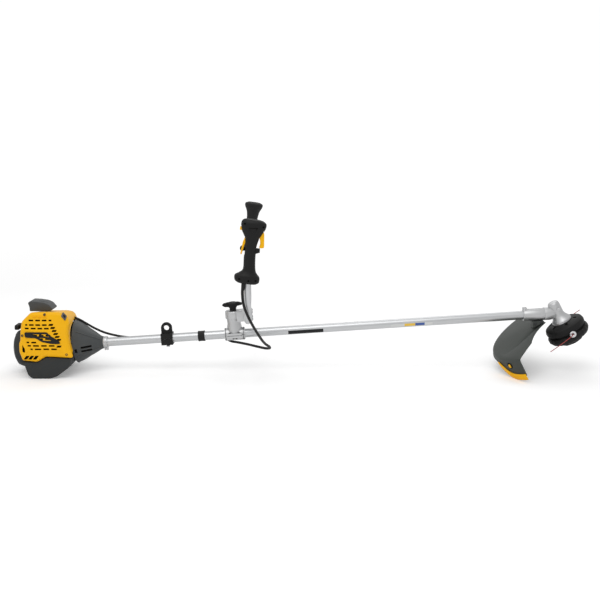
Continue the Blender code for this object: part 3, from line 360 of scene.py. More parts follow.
def make_tone_group():
    """Colour that drifts gently over the surface, with dust lying on faces that look up and fine scuffs."""
    group, given, out = node_group(
        "handled_tone",
        [("Colour", "Color", (0.5, 0.5, 0.5, 1)), ("Drift", "Float", 0.1), ("Dust", "Float", 0.05),
         ("Roughness", "Float", 0.5), ("Scuffs", "Float", 0.1)],
        [("Colour", "Color"), ("Roughness", "Float")])
    place = add_node(group, "ShaderNodeTexCoord")
    cloud = add_node(group, "ShaderNodeTexNoise", [("Vector", place.outputs["Object"]), ("Scale", 14.0),
                                                   ("Detail", 4.0)])
    fine = add_node(group, "ShaderNodeTexNoise", [("Vector", place.outputs["Object"]), ("Scale", 320.0),
                                                  ("Detail", 3.0)])
    stretch = add_node(group, "ShaderNodeMapping", [("Vector", place.outputs["Object"]),
                                                    ("Scale", (30.0, 420.0, 240.0))])
    scratch = add_node(group, "ShaderNodeTexNoise", [("Vector", stretch.outputs[0]), ("Scale", 1.0),
                                                     ("Detail", 2.0)])
    lines = add_node(group, "ShaderNodeMapRange", [("Value", scratch.outputs["Fac"]), ("From Min", 0.62),
                                                   ("From Max", 0.70)])
    centred = add_node(group, "ShaderNodeMath", [(0, cloud.outputs["Fac"]), (1, 0.5)], operation="SUBTRACT")
    amount = add_node(group, "ShaderNodeMath", [(0, centred.outputs[0]), (1, given.outputs["Drift"])],
                      operation="MULTIPLY")
    lift = add_node(group, "ShaderNodeMath", [(0, amount.outputs[0]), (1, 1.0)], operation="ADD")
    tone = add_node(group, "ShaderNodeHueSaturation", [("Color", given.outputs["Colour"]),
                                                       ("Value", lift.outputs[0])])
    normal = add_node(group, "ShaderNodeNewGeometry")
    parts = add_node(group, "ShaderNodeSeparateXYZ", [(0, normal.outputs["Normal"])])
    upward = add_node(group, "ShaderNodeMapRange", [("Value", parts.outputs["Z"]), ("From Min", 0.2),
                                                    ("From Max", 1.0)])
    specks = add_node(group, "ShaderNodeMapRange", [("Value", fine.outputs["Fac"]), ("From Min", 0.42),
                                                    ("From Max", 0.68)])
    fall = add_node(group, "ShaderNodeMath", [(0, upward.outputs[0]), (1, specks.outputs[0])],
                    operation="MULTIPLY")
    dust = add_node(group, "ShaderNodeMath", [(0, fall.outputs[0]), (1, given.outputs["Dust"])],
                    operation="MULTIPLY")
    mixed = add_node(group, "ShaderNodeMix", [("Factor", dust.outputs[0])], data_type="RGBA")
    clean, dusty = (socket for socket in mixed.inputs if socket.type == "RGBA")
    group.links.new(tone.outputs[0], clean)
    dusty.default_value = DUST_COLOUR
    blended = next(socket for socket in mixed.outputs if socket.type == "RGBA")
    group.links.new(blended, out.inputs["Colour"])
    rub = add_node(group, "ShaderNodeMath", [(0, lines.outputs[0]), (1, given.outputs["Scuffs"])],
                   operation="MULTIPLY")
    worn = add_node(group, "ShaderNodeMath", [(0, given.outputs["Roughness"]), (1, rub.outputs[0])],
                    operation="ADD")
    uneven = add_node(group, "ShaderNodeMath", [(0, amount.outputs[0]), (1, worn.outputs[0])],
                      operation="ADD")
    both = add_node(group, "ShaderNodeMath", [(0, uneven.outputs[0]), (1, dust.outputs[0])], operation="ADD",
                    use_clamp=True)
    group.links.new(both.outputs[0], out.inputs["Roughness"])
    return group


def make_grain_group():
    """Height of a fine skin: small rounded cells, as a moulding tool's texture or a sand casting has."""
    group, given, out = node_group(
        "skin_grain", [("Size", "Float", 900.0), ("Waviness", "Float", 0.3)], [("Height", "Float")])
    place = add_node(group, "ShaderNodeTexCoord")
    cells = add_node(group, "ShaderNodeTexVoronoi", [("Vector", place.outputs["Object"]),
                                                     ("Scale", given.outputs["Size"])], feature="SMOOTH_F1")
    wave = add_node(group, "ShaderNodeTexNoise", [("Vector", place.outputs["Object"]), ("Scale", 60.0),
                                                  ("Detail", 3.0)])
    slow = add_node(group, "ShaderNodeMath", [(0, wave.outputs["Fac"]), (1, given.outputs["Waviness"])],
                    operation="MULTIPLY")
    total = add_node(group, "ShaderNodeMath", [(0, cells.outputs["Distance"]), (1, slow.outputs[0])],
                     operation="ADD")
    group.links.new(total.outputs[0], out.inputs["Height"])
    return group


def make_streak_group():
    """Height of lines drawn along the shaft, as a tube has from its die: noise squeezed across them."""
    group, given, out = node_group("drawn_streaks", [("Size", "Float", 900.0)], [("Height", "Float")])
    place = add_node(group, "ShaderNodeTexCoord")
    level = add_node(group, "ShaderNodeMapping", [("Vector", place.outputs["Object"]),
                                                  ("Rotation", (0, radians(SHAFT_TILT), 0))])
    squeezed = add_node(group, "ShaderNodeMapping", [("Vector", level.outputs[0]),
                                                     ("Scale", (0.012, 1.0, 1.0))])
    lines = add_node(group, "ShaderNodeTexNoise", [("Vector", squeezed.outputs[0]),
                                                   ("Scale", given.outputs["Size"]), ("Detail", 3.0)])
    group.links.new(lines.outputs["Fac"], out.inputs["Height"])
    return group


def make_finish(name, colour, roughness, metallic=0.0, drift=0.12, dust=0.06, scuffs=0.12, grain=900.0,
                depth=0.00006, waviness=0.4, coat=0.0, sheen=0.0, gloss=0.5, streaks=False):
    """A material from the shared groups. What is the same all over is set on the shader itself. The
    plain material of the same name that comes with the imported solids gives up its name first."""
    packed = bpy.data.materials.get(name)
    if packed:
        packed.name = f"packed_{name}"
    material = bpy.data.materials.new(name)
    material.use_nodes = True
    tree = material.node_tree
    shader = tree.nodes["Principled BSDF"]
    shader.inputs["Metallic"].default_value = metallic
    shader.inputs["Specular IOR Level"].default_value = gloss
    shader.inputs["Coat Weight"].default_value = coat
    shader.inputs["Coat Roughness"].default_value = 0.2
    shader.inputs["Sheen Weight"].default_value = sheen
    tone = add_node(tree, "ShaderNodeGroup", node_tree=bpy.data.node_groups["handled_tone"])
    tone.inputs["Colour"].default_value = (*colour, 1)
    tone.inputs["Drift"].default_value = drift
    tone.inputs["Dust"].default_value = dust
    tone.inputs["Roughness"].default_value = roughness
    tone.inputs["Scuffs"].default_value = scuffs
    tree.links.new(tone.outputs["Colour"], shader.inputs["Base Color"])
    tree.links.new(tone.outputs["Roughness"], shader.inputs["Roughness"])
    kind = "drawn_streaks" if streaks else "skin_grain"
    skin = add_node(tree, "ShaderNodeGroup", node_tree=bpy.data.node_groups[kind])
    skin.inputs["Size"].default_value = grain
    if not streaks:
        skin.inputs["Waviness"].default_value = waviness
    bump = add_node(tree, "ShaderNodeBump", [("Strength", 1.0), ("Distance", depth),
                                             ("Height", skin.outputs["Height"])])
    tree.links.new(bump.outputs["Normal"], shader.inputs["Normal"])
    return material


class TrimmerColours(bpy.types.PropertyGroup):
    """Colours of the main finishes."""

    yellow: bpy.props.FloatVectorProperty(
        name="Yellow plastic", description="Engine cover, levers and guard edge", subtype="COLOR", size=3,
        min=0, max=1, default=(0.98, 0.50, 0.003))
    charcoal: bpy.props.FloatVectorProperty(
        name="Charcoal plastic", description="Tank, top cover, starter and clutch cone", subtype="COLOR",
        size=3,
        min=0, max=1, default=(0.036, 0.039, 0.040))
    black: bpy.props.FloatVectorProperty(
        name="Black plastic", description="Grips, knob and cutting head", subtype="COLOR", size=3,
        min=0, max=1, default=(0.013, 0.013, 0.013))
    grey: bpy.props.FloatVectorProperty(
        name="Grey plastic", description="Guard", subtype="COLOR", size=3, min=0, max=1,
        default=(0.056, 0.063, 0.057))
    line: bpy.props.FloatVectorProperty(
        name="Cutting line", description="Nylon line", subtype="COLOR", size=3, min=0, max=1,
        default=(0.34, 0.022, 0.022))


class TrimmerSizes(bpy.types.PropertyGroup):
    """Sizes of the details that can change without moving a joint."""

    cover_wall: bpy.props.FloatProperty(
        name="Cover wall", description="Thickness of the engine covers", subtype="DISTANCE", unit="LENGTH",
        default=0.0026, min=0.001, max=0.005)
    cover_crown: bpy.props.FloatProperty(
        name="Cover crown", description="How far the side of the cover bulges", subtype="DISTANCE",
        unit="LENGTH", default=0.005, min=0.0, max=0.010)
    slot_height: bpy.props.FloatProperty(
        name="Slot height", description="Height of a cooling slot", subtype="DISTANCE", unit="LENGTH",
        default=0.0054, min=0.002, max=0.006)
    edge_round: bpy.props.FloatProperty(
        name="Edge rounding", description="Radius on moulded edges", subtype="DISTANCE", unit="LENGTH",
        default=0.0010, min=0.0002, max=0.002)
    grip_ribs: bpy.props.IntProperty(
        name="Grip ribs", description="Raised rings on the left grip", default=16, min=4, max=30)
    head_flutes: bpy.props.IntProperty(
        name="Head flutes", description="Finger flutes around the cutting head", default=24, min=8, max=48)


class StageSizes(bpy.types.PropertyGroup):
    """The floor, lights and camera."""

    floor_radius: bpy.props.FloatProperty(
        name="Floor radius", description="Radius of the floor", subtype="DISTANCE", unit="LENGTH",
        default=40.0, min=4, max=80)
    key_power: bpy.props.FloatProperty(
        name="Key light", description="Power of the large overhead light", subtype="POWER", unit="POWER",
        default=31.0, min=0, max=1000)
    surround: bpy.props.FloatProperty(
        name="Surround light", description="Light that the surround gives", default=0.66, min=0, max=3)
    backdrop: bpy.props.FloatProperty(
        name="Backdrop", description="Brightness of the surround as it is seen", default=1.02, min=0, max=3)
    floor_lift: bpy.props.FloatProperty(
        name="Floor lift", description="Brightness added to the floor as it is seen", default=0.22, min=0,
        max=1)


class TRIMMER_OT_finishes(bpy.types.Operator):
    """Makes the finishes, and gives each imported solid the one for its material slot"""

    bl_idname = "trimmer.finishes"
    bl_label = "Finishes"

    def execute(self, context):
        colours = context.scene.trimmer_colours
        make_tone_group()
        make_grain_group()
        make_streak_group()
        make_finish("yellow_plastic", colours.yellow, 0.40, drift=0.08, gloss=0.20, depth=0.00003, dust=0.02)
        make_finish("charcoal_plastic", colours.charcoal, 0.46, depth=0.00008, grain=1100, dust=0.02,
                    gloss=0.22)
        make_finish("charcoal_shell", tuple(1.8 * c for c in colours.charcoal), 0.42, depth=0.00008,
                    grain=1100,
                    dust=0.04, gloss=0.30)
        make_finish("black_plastic", colours.black, 0.48, depth=0.00008, grain=1100, dust=0.03, gloss=0.18)
        # dark_inside is painted shade: a near-black finish for pieces that stand for the shade in slots,
        # pockets and holes, and for the grip's dark joint line.
        make_finish("dark_inside", (0.008, 0.007, 0.006), 0.8, dust=0.0, gloss=0.1)
        make_finish("black_rubber", (0.016, 0.016, 0.016), 0.66, sheen=0.05, depth=0.00008, grain=1500,
                    gloss=0.2)
        make_finish("grey_plastic", colours.grey, 0.50, depth=0.00008, grain=1000, dust=0.03, gloss=0.25)
        make_finish("filter_foam", (0.08, 0.08, 0.09), 0.95, depth=0.0008, grain=500, sheen=0.2)
        make_finish("drawn_aluminium", (0.64, 0.65, 0.66), 0.40, 1.0, drift=0.06, depth=0.00003, grain=1400,
                    streaks=True, dust=0.02, scuffs=0.10)
        make_finish("cast_aluminium", (0.62, 0.625, 0.63), 0.44, 1.0, drift=0.12, depth=0.00014, grain=750,
                    waviness=0.8, dust=0.04)
        make_finish("steel", (0.50, 0.50, 0.51), 0.32, 1.0, depth=0.00003, grain=1500)
        make_finish("dark_screws", (0.06, 0.06, 0.065), 0.36, 1.0, depth=0.00003, grain=1500)
        make_finish("bright_steel", (0.74, 0.74, 0.75), 0.28, 1.0, drift=0.05, depth=0.00002, grain=1500)
        make_finish("red_nylon", colours.line, 0.32, depth=0.00003, grain=2500, coat=0.2)
        make_finish("dark_label", (0.012, 0.012, 0.013), 0.50, depth=0.00001, dust=0.02, gloss=0.25)
        make_finish("pale_label", (0.70, 0.71, 0.70), 0.35, coat=0.3, depth=0.00001)
        make_finish("blue_label", (0.03, 0.09, 0.35), 0.35, coat=0.3, depth=0.00001)
        make_finish("yellow_label", (0.86, 0.55, 0.05), 0.35, coat=0.3, depth=0.00001)
        make_finish("emblem_grey", (0.12, 0.12, 0.13), 0.34, 0.6, depth=0.00002)
        slots = {part["node"]: part["material_slot"] for part in frame["record"]["subparts"]}
        for name, node in frame["nodes"].items():
            for holder in node.material_slots:
                holder.material = bpy.data.materials[slots[name]]
        return {"FINISHED"}


# Engine
COVER_OUTLINE = (
    (-0.020, 0.213), (-0.036, 0.198), (-0.050, 0.184), (-0.056, 0.156), (-0.058, 0.124), (-0.063, 0.112),
    (-0.063, 0.084), (-0.058, 0.072), (-0.055, 0.059), (-0.009, 0.054), (0.019, 0.071), (0.104, 0.067),
    (0.094, 0.117), (0.092, 0.143), (0.094, 0.161), (0.099, 0.180), (0.095, 0.197), (0.084, 0.209),
    (0.062, 0.214))
THIN_SLOTS = (
    (0.1880, (-0.025, -0.010), (-0.004, 0.011), (0.016, 0.031), (0.037, 0.046)),
    (0.1740, (-0.036, -0.029), (-0.024, -0.009), (-0.004, 0.011), (0.016, 0.031)),
    (0.1630, (-0.038, -0.025), (-0.019, -0.003), (0.002, 0.017), (0.022, 0.037)),
    (0.1410, (-0.012, 0.000), (0.005, 0.020), (0.026, 0.041)),
    (0.1300, (0.004, 0.018), (0.024, 0.040)),
    (0.1190, (-0.035, -0.026), (-0.020, -0.004)),
    (0.1085, (-0.032, -0.021), (-0.015, 0.004), (0.010, 0.028), (0.034, 0.052)),
    (0.0975, (-0.024, -0.016), (-0.010, 0.010), (0.016, 0.034), (0.040, 0.058)),
)
BOLD_SLOTS = ((0.1745, 0.037), (0.1650, 0.042), (0.1555, 0.046), (0.1460, 0.050), (0.1365, 0.054),
              (0.1270, 0.058), (0.1060, 0.058))
LOW_SLOTS = (-0.0435, -0.0295, -0.0150)


def slot_through(start, end, height, tall, lean=0.0):
    """A cooling slot with softened corners, leaning sideways by so much over its height."""
    half = tall / 2
    outline = [(start - lean, height + half), (start + lean, height - half), (end + lean, height - half),
               (end - lean, height + half)]
    return slab(rounded(outline, 0.0009, 32), -0.125, -0.096)


def engine_bores():
    """Room in the covers for the starter at one end and the clutch cone at the other, and for the tank."""
    return [moved(rod(0.0725, 0.070, 0.125, 72), shifted(0, 0, 0.010) @ SHAFT @ ALONG_X),
            moved(rod(0.0520, -0.085, -0.045, 72), SHAFT @ ALONG_X)]


class TRIMMER_OT_engine_cover(bpy.types.Operator):
    """Builds the yellow engine cover with its cooling slots, plain badge and screws"""

    bl_idname = "trimmer.engine_cover"
    bl_label = "Engine cover"

    def execute(self, context):
        sizes = context.scene.trimmer_sizes
        outline = rounded(COVER_OUTLINE, 0.006, 240)
        slots = [slot_through(start, end, height, sizes.slot_height)
                 for height, *spans in THIN_SLOTS for start, end in spans]
        slots += [slot_through(start, start + 0.0135, height, 0.0066, -0.0018) for height,
                  start in BOLD_SLOTS]
        slots += [slot_through(start, start + 0.0110, 0.0700, 0.0130, -0.0050) for start in LOW_SLOTS]
        slots.append(slab(rounded([(-0.0500, 0.088), (-0.0415, 0.085), (-0.0410, 0.098), (-0.0490, 0.112)],
                                  0.001, 32), -0.125, -0.090))
        ribs = [slab(rounded([(start, 0.1985), (start + 0.012, 0.1985), (start + 0.012, 0.2005),
                              (start, 0.2005)], 0.0006, 32), -0.106, -0.1105)
                for start in (-0.012, 0.004, 0.020)]
        build("engine_cover_shell", tray(outline, 0.0580, -0.107, 0.013, sizes.cover_crown, JOIN_SCALE),
              "yellow_plastic", "trimmer", wall=sizes.cover_wall,
              cut=[together(slots), *engine_bores(), block((-0.052, -0.090, 0.040), (0.120, 0.070, 0.0815))],
              bevel=0.0005, rounds=2, stands_for=["engine_cover"])
        build("cover_ribs", together(ribs), "yellow_plastic", "trimmer", bevel=0.0004, rounds=2)
        badge = rounded([(-0.0390, 0.1510), (0.0300, 0.1520), (0.0440, 0.1380), (0.0660, 0.1240),
                         (0.0700, 0.1150),
                         (0.0440, 0.1150), (0.0140, 0.1210), (-0.0040, 0.1330), (-0.0370, 0.1350)], 0.004,
                         120)
        windows = [rounded(corners, 0.0015, 48) for corners in (
            [(-0.0150, 0.1455), (0.0060, 0.1455), (0.0130, 0.1390), (-0.0050, 0.1390)],
            [(0.0130, 0.1460), (0.0270, 0.1460), (0.0380, 0.1360), (0.0180, 0.1400)],
            [(0.0060, 0.1345), (0.0240, 0.1335), (0.0460, 0.1240), (0.0180, 0.1260)])]
        build("cover_badge", slab(badge, -0.1000, -0.1128), "dark_label", "trimmer", bevel=0.0005, rounds=2,
              cut=[together([slab(window, -0.120, -0.095) for window in windows])])
        emblem = rounded([(-0.0090, 0.0020), (-0.0010, 0.0140), (0.0090, 0.0000), (0.0010, -0.0140)], 0.002,
                         64)
        shoulder = shifted(0.0840, -0.1045, 0.2000) @ turned("Z", 34) @ turned("X", -24)
        build("cover_emblem", slab(emblem, -0.0022, 0.0090), "emblem_grey", "trimmer", at=shoulder,
              bevel=0.0010)
        oval = rounded([(-0.0040, 0.0010), (-0.0010, 0.0070), (0.0040, 0.0000), (0.0010, -0.0070)], 0.003, 48)
        build("emblem_oval", slab(oval, -0.0030, 0.0), "dark_label", "trimmer", at=shoulder, bevel=0.0003)
        # Painted shade: a near-black sheet behind the cover, seen through the cooling slots as the shade
        # inside them.
        slot_shade_sheet = rounded(COVER_OUTLINE, 0.006, 120) * 0.93 + np.array([0.02, 0.135]) * 0.07
        build("cover_slot_shade", slab(slot_shade_sheet, -0.0985, -0.0975), "dark_inside", "trimmer")
        screws = [moved(screw(0.0038, 0.0), shifted(x, -0.1085, z) @ turned("X", 90))
                  for x, z in ((0.0860, 0.0800), (-0.0470, 0.1400), (0.0250, 0.2060))]
        build("cover_screws", together(screws), "dark_screws", "trimmer", sharp=40)
        return {"FINISHED"}


class TRIMMER_OT_filter_side(bpy.types.Operator):
    """Builds the charcoal air filter cover on the far side and the cap over the top of the engine"""

    bl_idname = "trimmer.filter_side"
    bl_label = "Filter cover and top cover"

    def execute(self, context):
        sizes = context.scene.trimmer_sizes
        outline = rounded(COVER_OUTLINE, 0.006, 240)
        vents = [slab(rounded([(-0.026, height), (0.056, height), (0.056, height + 0.004),
                               (-0.026, height + 0.004)], 0.001, 64), 0.092, 0.120)
                 for height in (0.138, 0.148, 0.158, 0.168)]
        build("filter_cover_shell", tray(outline, 0.0583, 0.1040, 0.012, 0.0010, JOIN_SCALE, FAR_SCALE),
              "charcoal_plastic", "trimmer",
              wall=sizes.cover_wall,
              cut=[together(vents), *engine_bores()[:1],
                   moved(rod(0.0100, 0.08, 0.12), shifted(0.060, 0, 0.092) @ ALONG_Y),
                   moved(rod(0.0034, 0.08, 0.12), shifted(-0.030, 0, 0.110) @ ALONG_Y)],
              bevel=0.0005, rounds=2, stands_for=["air_filter_cover"])
        knob = [(0, 0.1000), (0.0110, 0.1000), (0.0110, 0.1085), (0.0095, 0.1100), (0, 0.1100)]
        build("filter_cover_knob", lathe(knob, 48, flutes=8, depth=0.06), "charcoal_plastic", "trimmer",
              at=shifted(0.015, 0, 0.116) @ ALONG_Y, bevel=0.0005, rounds=2)
        hump = [(-0.0405, 0.2325), (-0.0340, 0.2380), (-0.0110, 0.2370), (0.0110, 0.2335), (0.0250, 0.2270),
                (0.0370, 0.2120), (0.0280, 0.2060), (-0.0360, 0.2060), (-0.0360, 0.2190)]
        ridge = [(-0.0340, 0.2370), (0.0040, 0.2350), (0.0220, 0.2280), (0.0220, 0.2200), (-0.0340, 0.2200)]
        build("top_cover_shell", slab(rounded(hump, 0.0035, 120), -0.058, -0.006), "charcoal_shell",
              "trimmer",
              bevel=0.0110, rounds=6, sharp=60, stands_for=["top_cover"])
        build("top_cover_ridge", slab(rounded(ridge, 0.003, 96), -0.046, -0.018), "charcoal_shell", "trimmer",
              at=shifted(0, 0, 0.0012), bevel=0.003, rounds=3, sharp=60)
        return {"FINISHED"}


class TRIMMER_OT_tank(bpy.types.Operator):
    """Builds the fuel tank with its weld seam, and its cap"""

    bl_idname = "trimmer.tank"
    bl_label = "Fuel tank"

    def execute(self, context):
        outline = [(-0.052, 0.0535), (-0.040, 0.012), (-0.027, 0.0), (0.027, 0.0), (0.050, 0.007),
                   (0.0890, 0.036), (0.0955, 0.052), (0.0955, 0.0645), (0.0190, 0.0685), (-0.0088, 0.0515)]
        shape = rounded(outline, 0.0035, 180)
        shape[:, 1] = np.maximum(shape[:, 1], 0.0)
        build("tank_shell", slab(shape, -0.098, 0.098), "charcoal_plastic", "trimmer", bevel=0.006, rounds=4,
              sharp=60, stands_for=["fuel_tank"],
              cut=[block((-0.080, -0.060, 0.0480), (0.120, 0.060, 0.100)),
                   moved(rod(0.0125, 0.080, 0.12), shifted(0.050, 0, 0.036) @ ALONG_Y)])
        middle = shape.mean(axis=0)
        seam = middle + (shape - middle) * 1.018
        seam[:, 1] = np.clip(seam[:, 1], 0.0005, 0.0640)
        build("tank_seam", slab(seam, -0.0725, -0.0700), "charcoal_plastic", "trimmer", bevel=0.0008,
              rounds=2,
              sharp=60)
        cap = [(0, -0.008), (0.0115, -0.008), (0.0115, 0.0004), (0.0175, 0.0004), (0.0175, 0.0095),
               (0.0155, 0.0115), (0.0125, 0.0120), (0.0115, 0.0100), (0, 0.0100)]
        build("fuel_cap_body", lathe(cap, 120, flutes=20, depth=0.025), "black_plastic", "fuel_cap",
              at=shifted(0.050, 0.098, 0.036) @ ALONG_Y, bevel=0.0004, rounds=2, sharp=50,
              add=[block((-0.0105, -0.0020, 0.009), (0.0105, 0.0020, 0.0148))], stands_for=["fuel_cap"])
        return {"FINISHED"}


class TRIMMER_OT_starter(bpy.types.Operator):
    """Builds the recoil starter: its ribbed dish, rope and pull grip"""

    bl_idname = "trimmer.starter"
    bl_label = "Recoil starter"

    def execute(self, context):
        dish = [(0, -0.0955), (0.043, -0.0955), (0.047, -0.0910), (0.0485, -0.080), (0.0485, -0.0580),
                (0.0510, -0.0580), (0.0510, -0.0665), (0.0600, -0.0680), (0.0600, -0.080), (0.055, -0.092),
                (0.044, -0.0985), (0, -0.0985)]
        spoke = rounded([(0.024, -0.0024), (0.041, -0.0040), (0.041, 0.0040), (0.024, 0.0024)], 0.0010, 40)
        vents = [moved(slab(spoke, -0.110, -0.090, "XY"), turned("Z", 30 * k)) for k in range(12)]
        build("starter_dish", lathe(dish, 96), "charcoal_plastic", "trimmer", at=SHAFT @ ALONG_X,
              cut=[together(vents)], bevel=0.0012, rounds=3, stands_for=["starter_housing"])
        boss = [(0, -0.0975), (0.0190, -0.0975), (0.0190, -0.1000), (0.0175, -0.1008), (0, -0.1008)]
        build("starter_boss", lathe(boss, 64), "charcoal_plastic", "trimmer", at=SHAFT @ ALONG_X,
              bevel=0.0005,
              rounds=2)
        screws = [moved(screw(0.0030, 0.0), SHAFT @ shifted(-0.0945, 0.0505 * np.cos(a), 0.0505 * np.sin(a))
                        @ turned("Y", -90)) for a in np.radians([20, 110, 200, 290])]
        build("starter_screws", together(screws), "dark_screws", "trimmer", sharp=40)
        bow = rounded([(-0.024, 0.1450), (-0.021, 0.1375), (0.021, 0.1375), (0.024, 0.1450), (0.021, 0.1525),
                       (-0.021, 0.1525)], 0.003, 80)
        neck = moved(lathe([(0.0070, 0.0), (0.0055, 0.018), (0.0040, 0.0300)], 32),
                     shifted(-0.0890, 0, 0.1450) @ ALONG_X)
        build("pull_grip", slab(bow, -0.0985, -0.0875, "YZ"), "black_plastic", "starter_grip", add=[neck],
              bevel=0.0026, rounds=4, sharp=50, stands_for=["starter_grip"])
        line = np.stack([np.linspace(-0.0560, -0.0620, 90), np.zeros(90), np.full(90, 0.145)], axis=1)
        rope = solid("starter_rope", tube(line, 0.0018, 16))
        rope.data.materials.append(bpy.data.materials["black_rubber"])
        rope.data.shade_smooth()
        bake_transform(rope)
        return {"FINISHED"}


class TRIMMER_OT_clutch_cone(bpy.types.Operator):
    """Builds the cone over the clutch and the clamp that holds the shaft in it"""

    bl_idname = "trimmer.clutch_cone"
    bl_label = "Clutch cone"

    def execute(self, context):
        sections = ((0.0945, 0.0100, 0.0690, 0.0690), (0.115, 0.0080, 0.0585, 0.0590),
                    (0.135, 0.005, 0.0455, 0.0450), (0.155, 0.0025, 0.0325, 0.0325),
                    (0.169, 0.0005, 0.0225, 0.0225), (0.178, 0.0, 0.0190, 0.0190))
        along, centre, half_y, half_z = smooth_path(sections, 4).T[:, :, None]
        inside = np.array([(0.178, 0.0143), (0.151, 0.0143), (0.151, 0.0088), (0.0965, 0.0088),
                           (0.0965, 0.032),
                           (0.0945, 0.060)])
        a = angles(96)
        along = np.vstack([along, inside[:, :1]])
        centre = np.vstack([centre, 0 * inside[:, :1]])
        half_y, half_z = np.vstack([half_y, inside[:, 1:]]), np.vstack([half_z, inside[:, 1:]])
        grid = np.stack([along + 0 * a, half_y * np.cos(a), centre + half_z * np.sin(a)], axis=-1)
        lows = (-0.0165, -0.0045)
        vents = [slab(rounded([(0.116, low), (0.147, low), (0.147, low + 0.0070), (0.116, low + 0.0070)],
                              0.0012, 40), -0.080, -0.026) for low in lows]
        square = slab(rounded([(0.0985, -0.015), (0.1060, -0.015), (0.1060, -0.002), (0.0985, -0.002)],
                              0.001, 32),
                      -0.090, -0.050)
        build("clutch_cone", woven(grid, ring=True), "charcoal_shell", "trimmer", at=SHAFT,
              cut=[together([*vents, square])], bevel=0.0009, rounds=3, stands_for=["clutch_housing"])
        # Painted shade: near-black blocks at the bottom of the vent and square pockets stand for the shade
        # inside them.
        pocket_shades = [slab([(0.1155, -0.0500), (0.1475, -0.0300), (0.1475, -0.0255), (0.1155, -0.0255)],
                        low - 0.0005,
                        low + 0.0075, "XY") for low in lows]
        pocket_shades.append(block((0.0980, -0.0595, -0.0155), (0.1065, -0.0495, -0.0015)))
        build("cone_pocket_shade", together(pocket_shades), "dark_inside", "trimmer", at=SHAFT)
        ribs = []
        for turn in (40, 140, 215, 325):
            path = np.stack([along[:21, 0], half_y[:21, 0] * np.cos(radians(turn)),
                             centre[:21, 0] + half_z[:21, 0] * np.sin(radians(turn))], axis=1)
            ribs.append(tube(path[2:], 0.0022, 16, across=(0, 1, 1) if turn in (140, 325) else (0, -1, 1)))
        build("cone_ribs", together(ribs), "charcoal_shell", "trimmer", at=SHAFT)
        build("nose_clamp", lathe([(0.0143, 0.1785), (0.0185, 0.1785), (0.0185, 0.1905), (0.0143, 0.1905)],
                                  72,
                                  ring=True), "cast_aluminium", "trimmer", at=SHAFT @ ALONG_X, bevel=0.0007,
              add=[moved(block((0.1785, -0.0045, -0.0255), (0.1905, 0.0045, -0.0150)),
                         np.linalg.inv(ALONG_X))],
              cut=[moved(block((0.170, -0.0006, -0.030), (0.200, 0.0006, -0.010)), np.linalg.inv(ALONG_X))],
              stands_for=["housing_clamp"])
        build("nose_clamp_screw", moved(screw(0.0034, 0.0), turned("X", 90)), "bright_steel", "trimmer",
              at=SHAFT @ shifted(0.1845, -0.0072, -0.0215), sharp=40)
        return {"FINISHED"}


# Shaft
def wrap(start, end, low, high, radius, thickness=0.00018):
    """A thin label round part of the tube: an arc between two angles, out and back at two radii."""
    a = np.radians(np.linspace(low, high, 24))
    a = np.r_[a, a[::-1]]
    r = np.r_[np.full(24, radius + thickness), np.full(24, radius - 0.0002)]
    along = np.array([start, end])[:, None] + 0 * a
    return woven(np.stack([along, r * np.cos(a) + 0 * along, r * np.sin(a) + 0 * along], axis=-1))


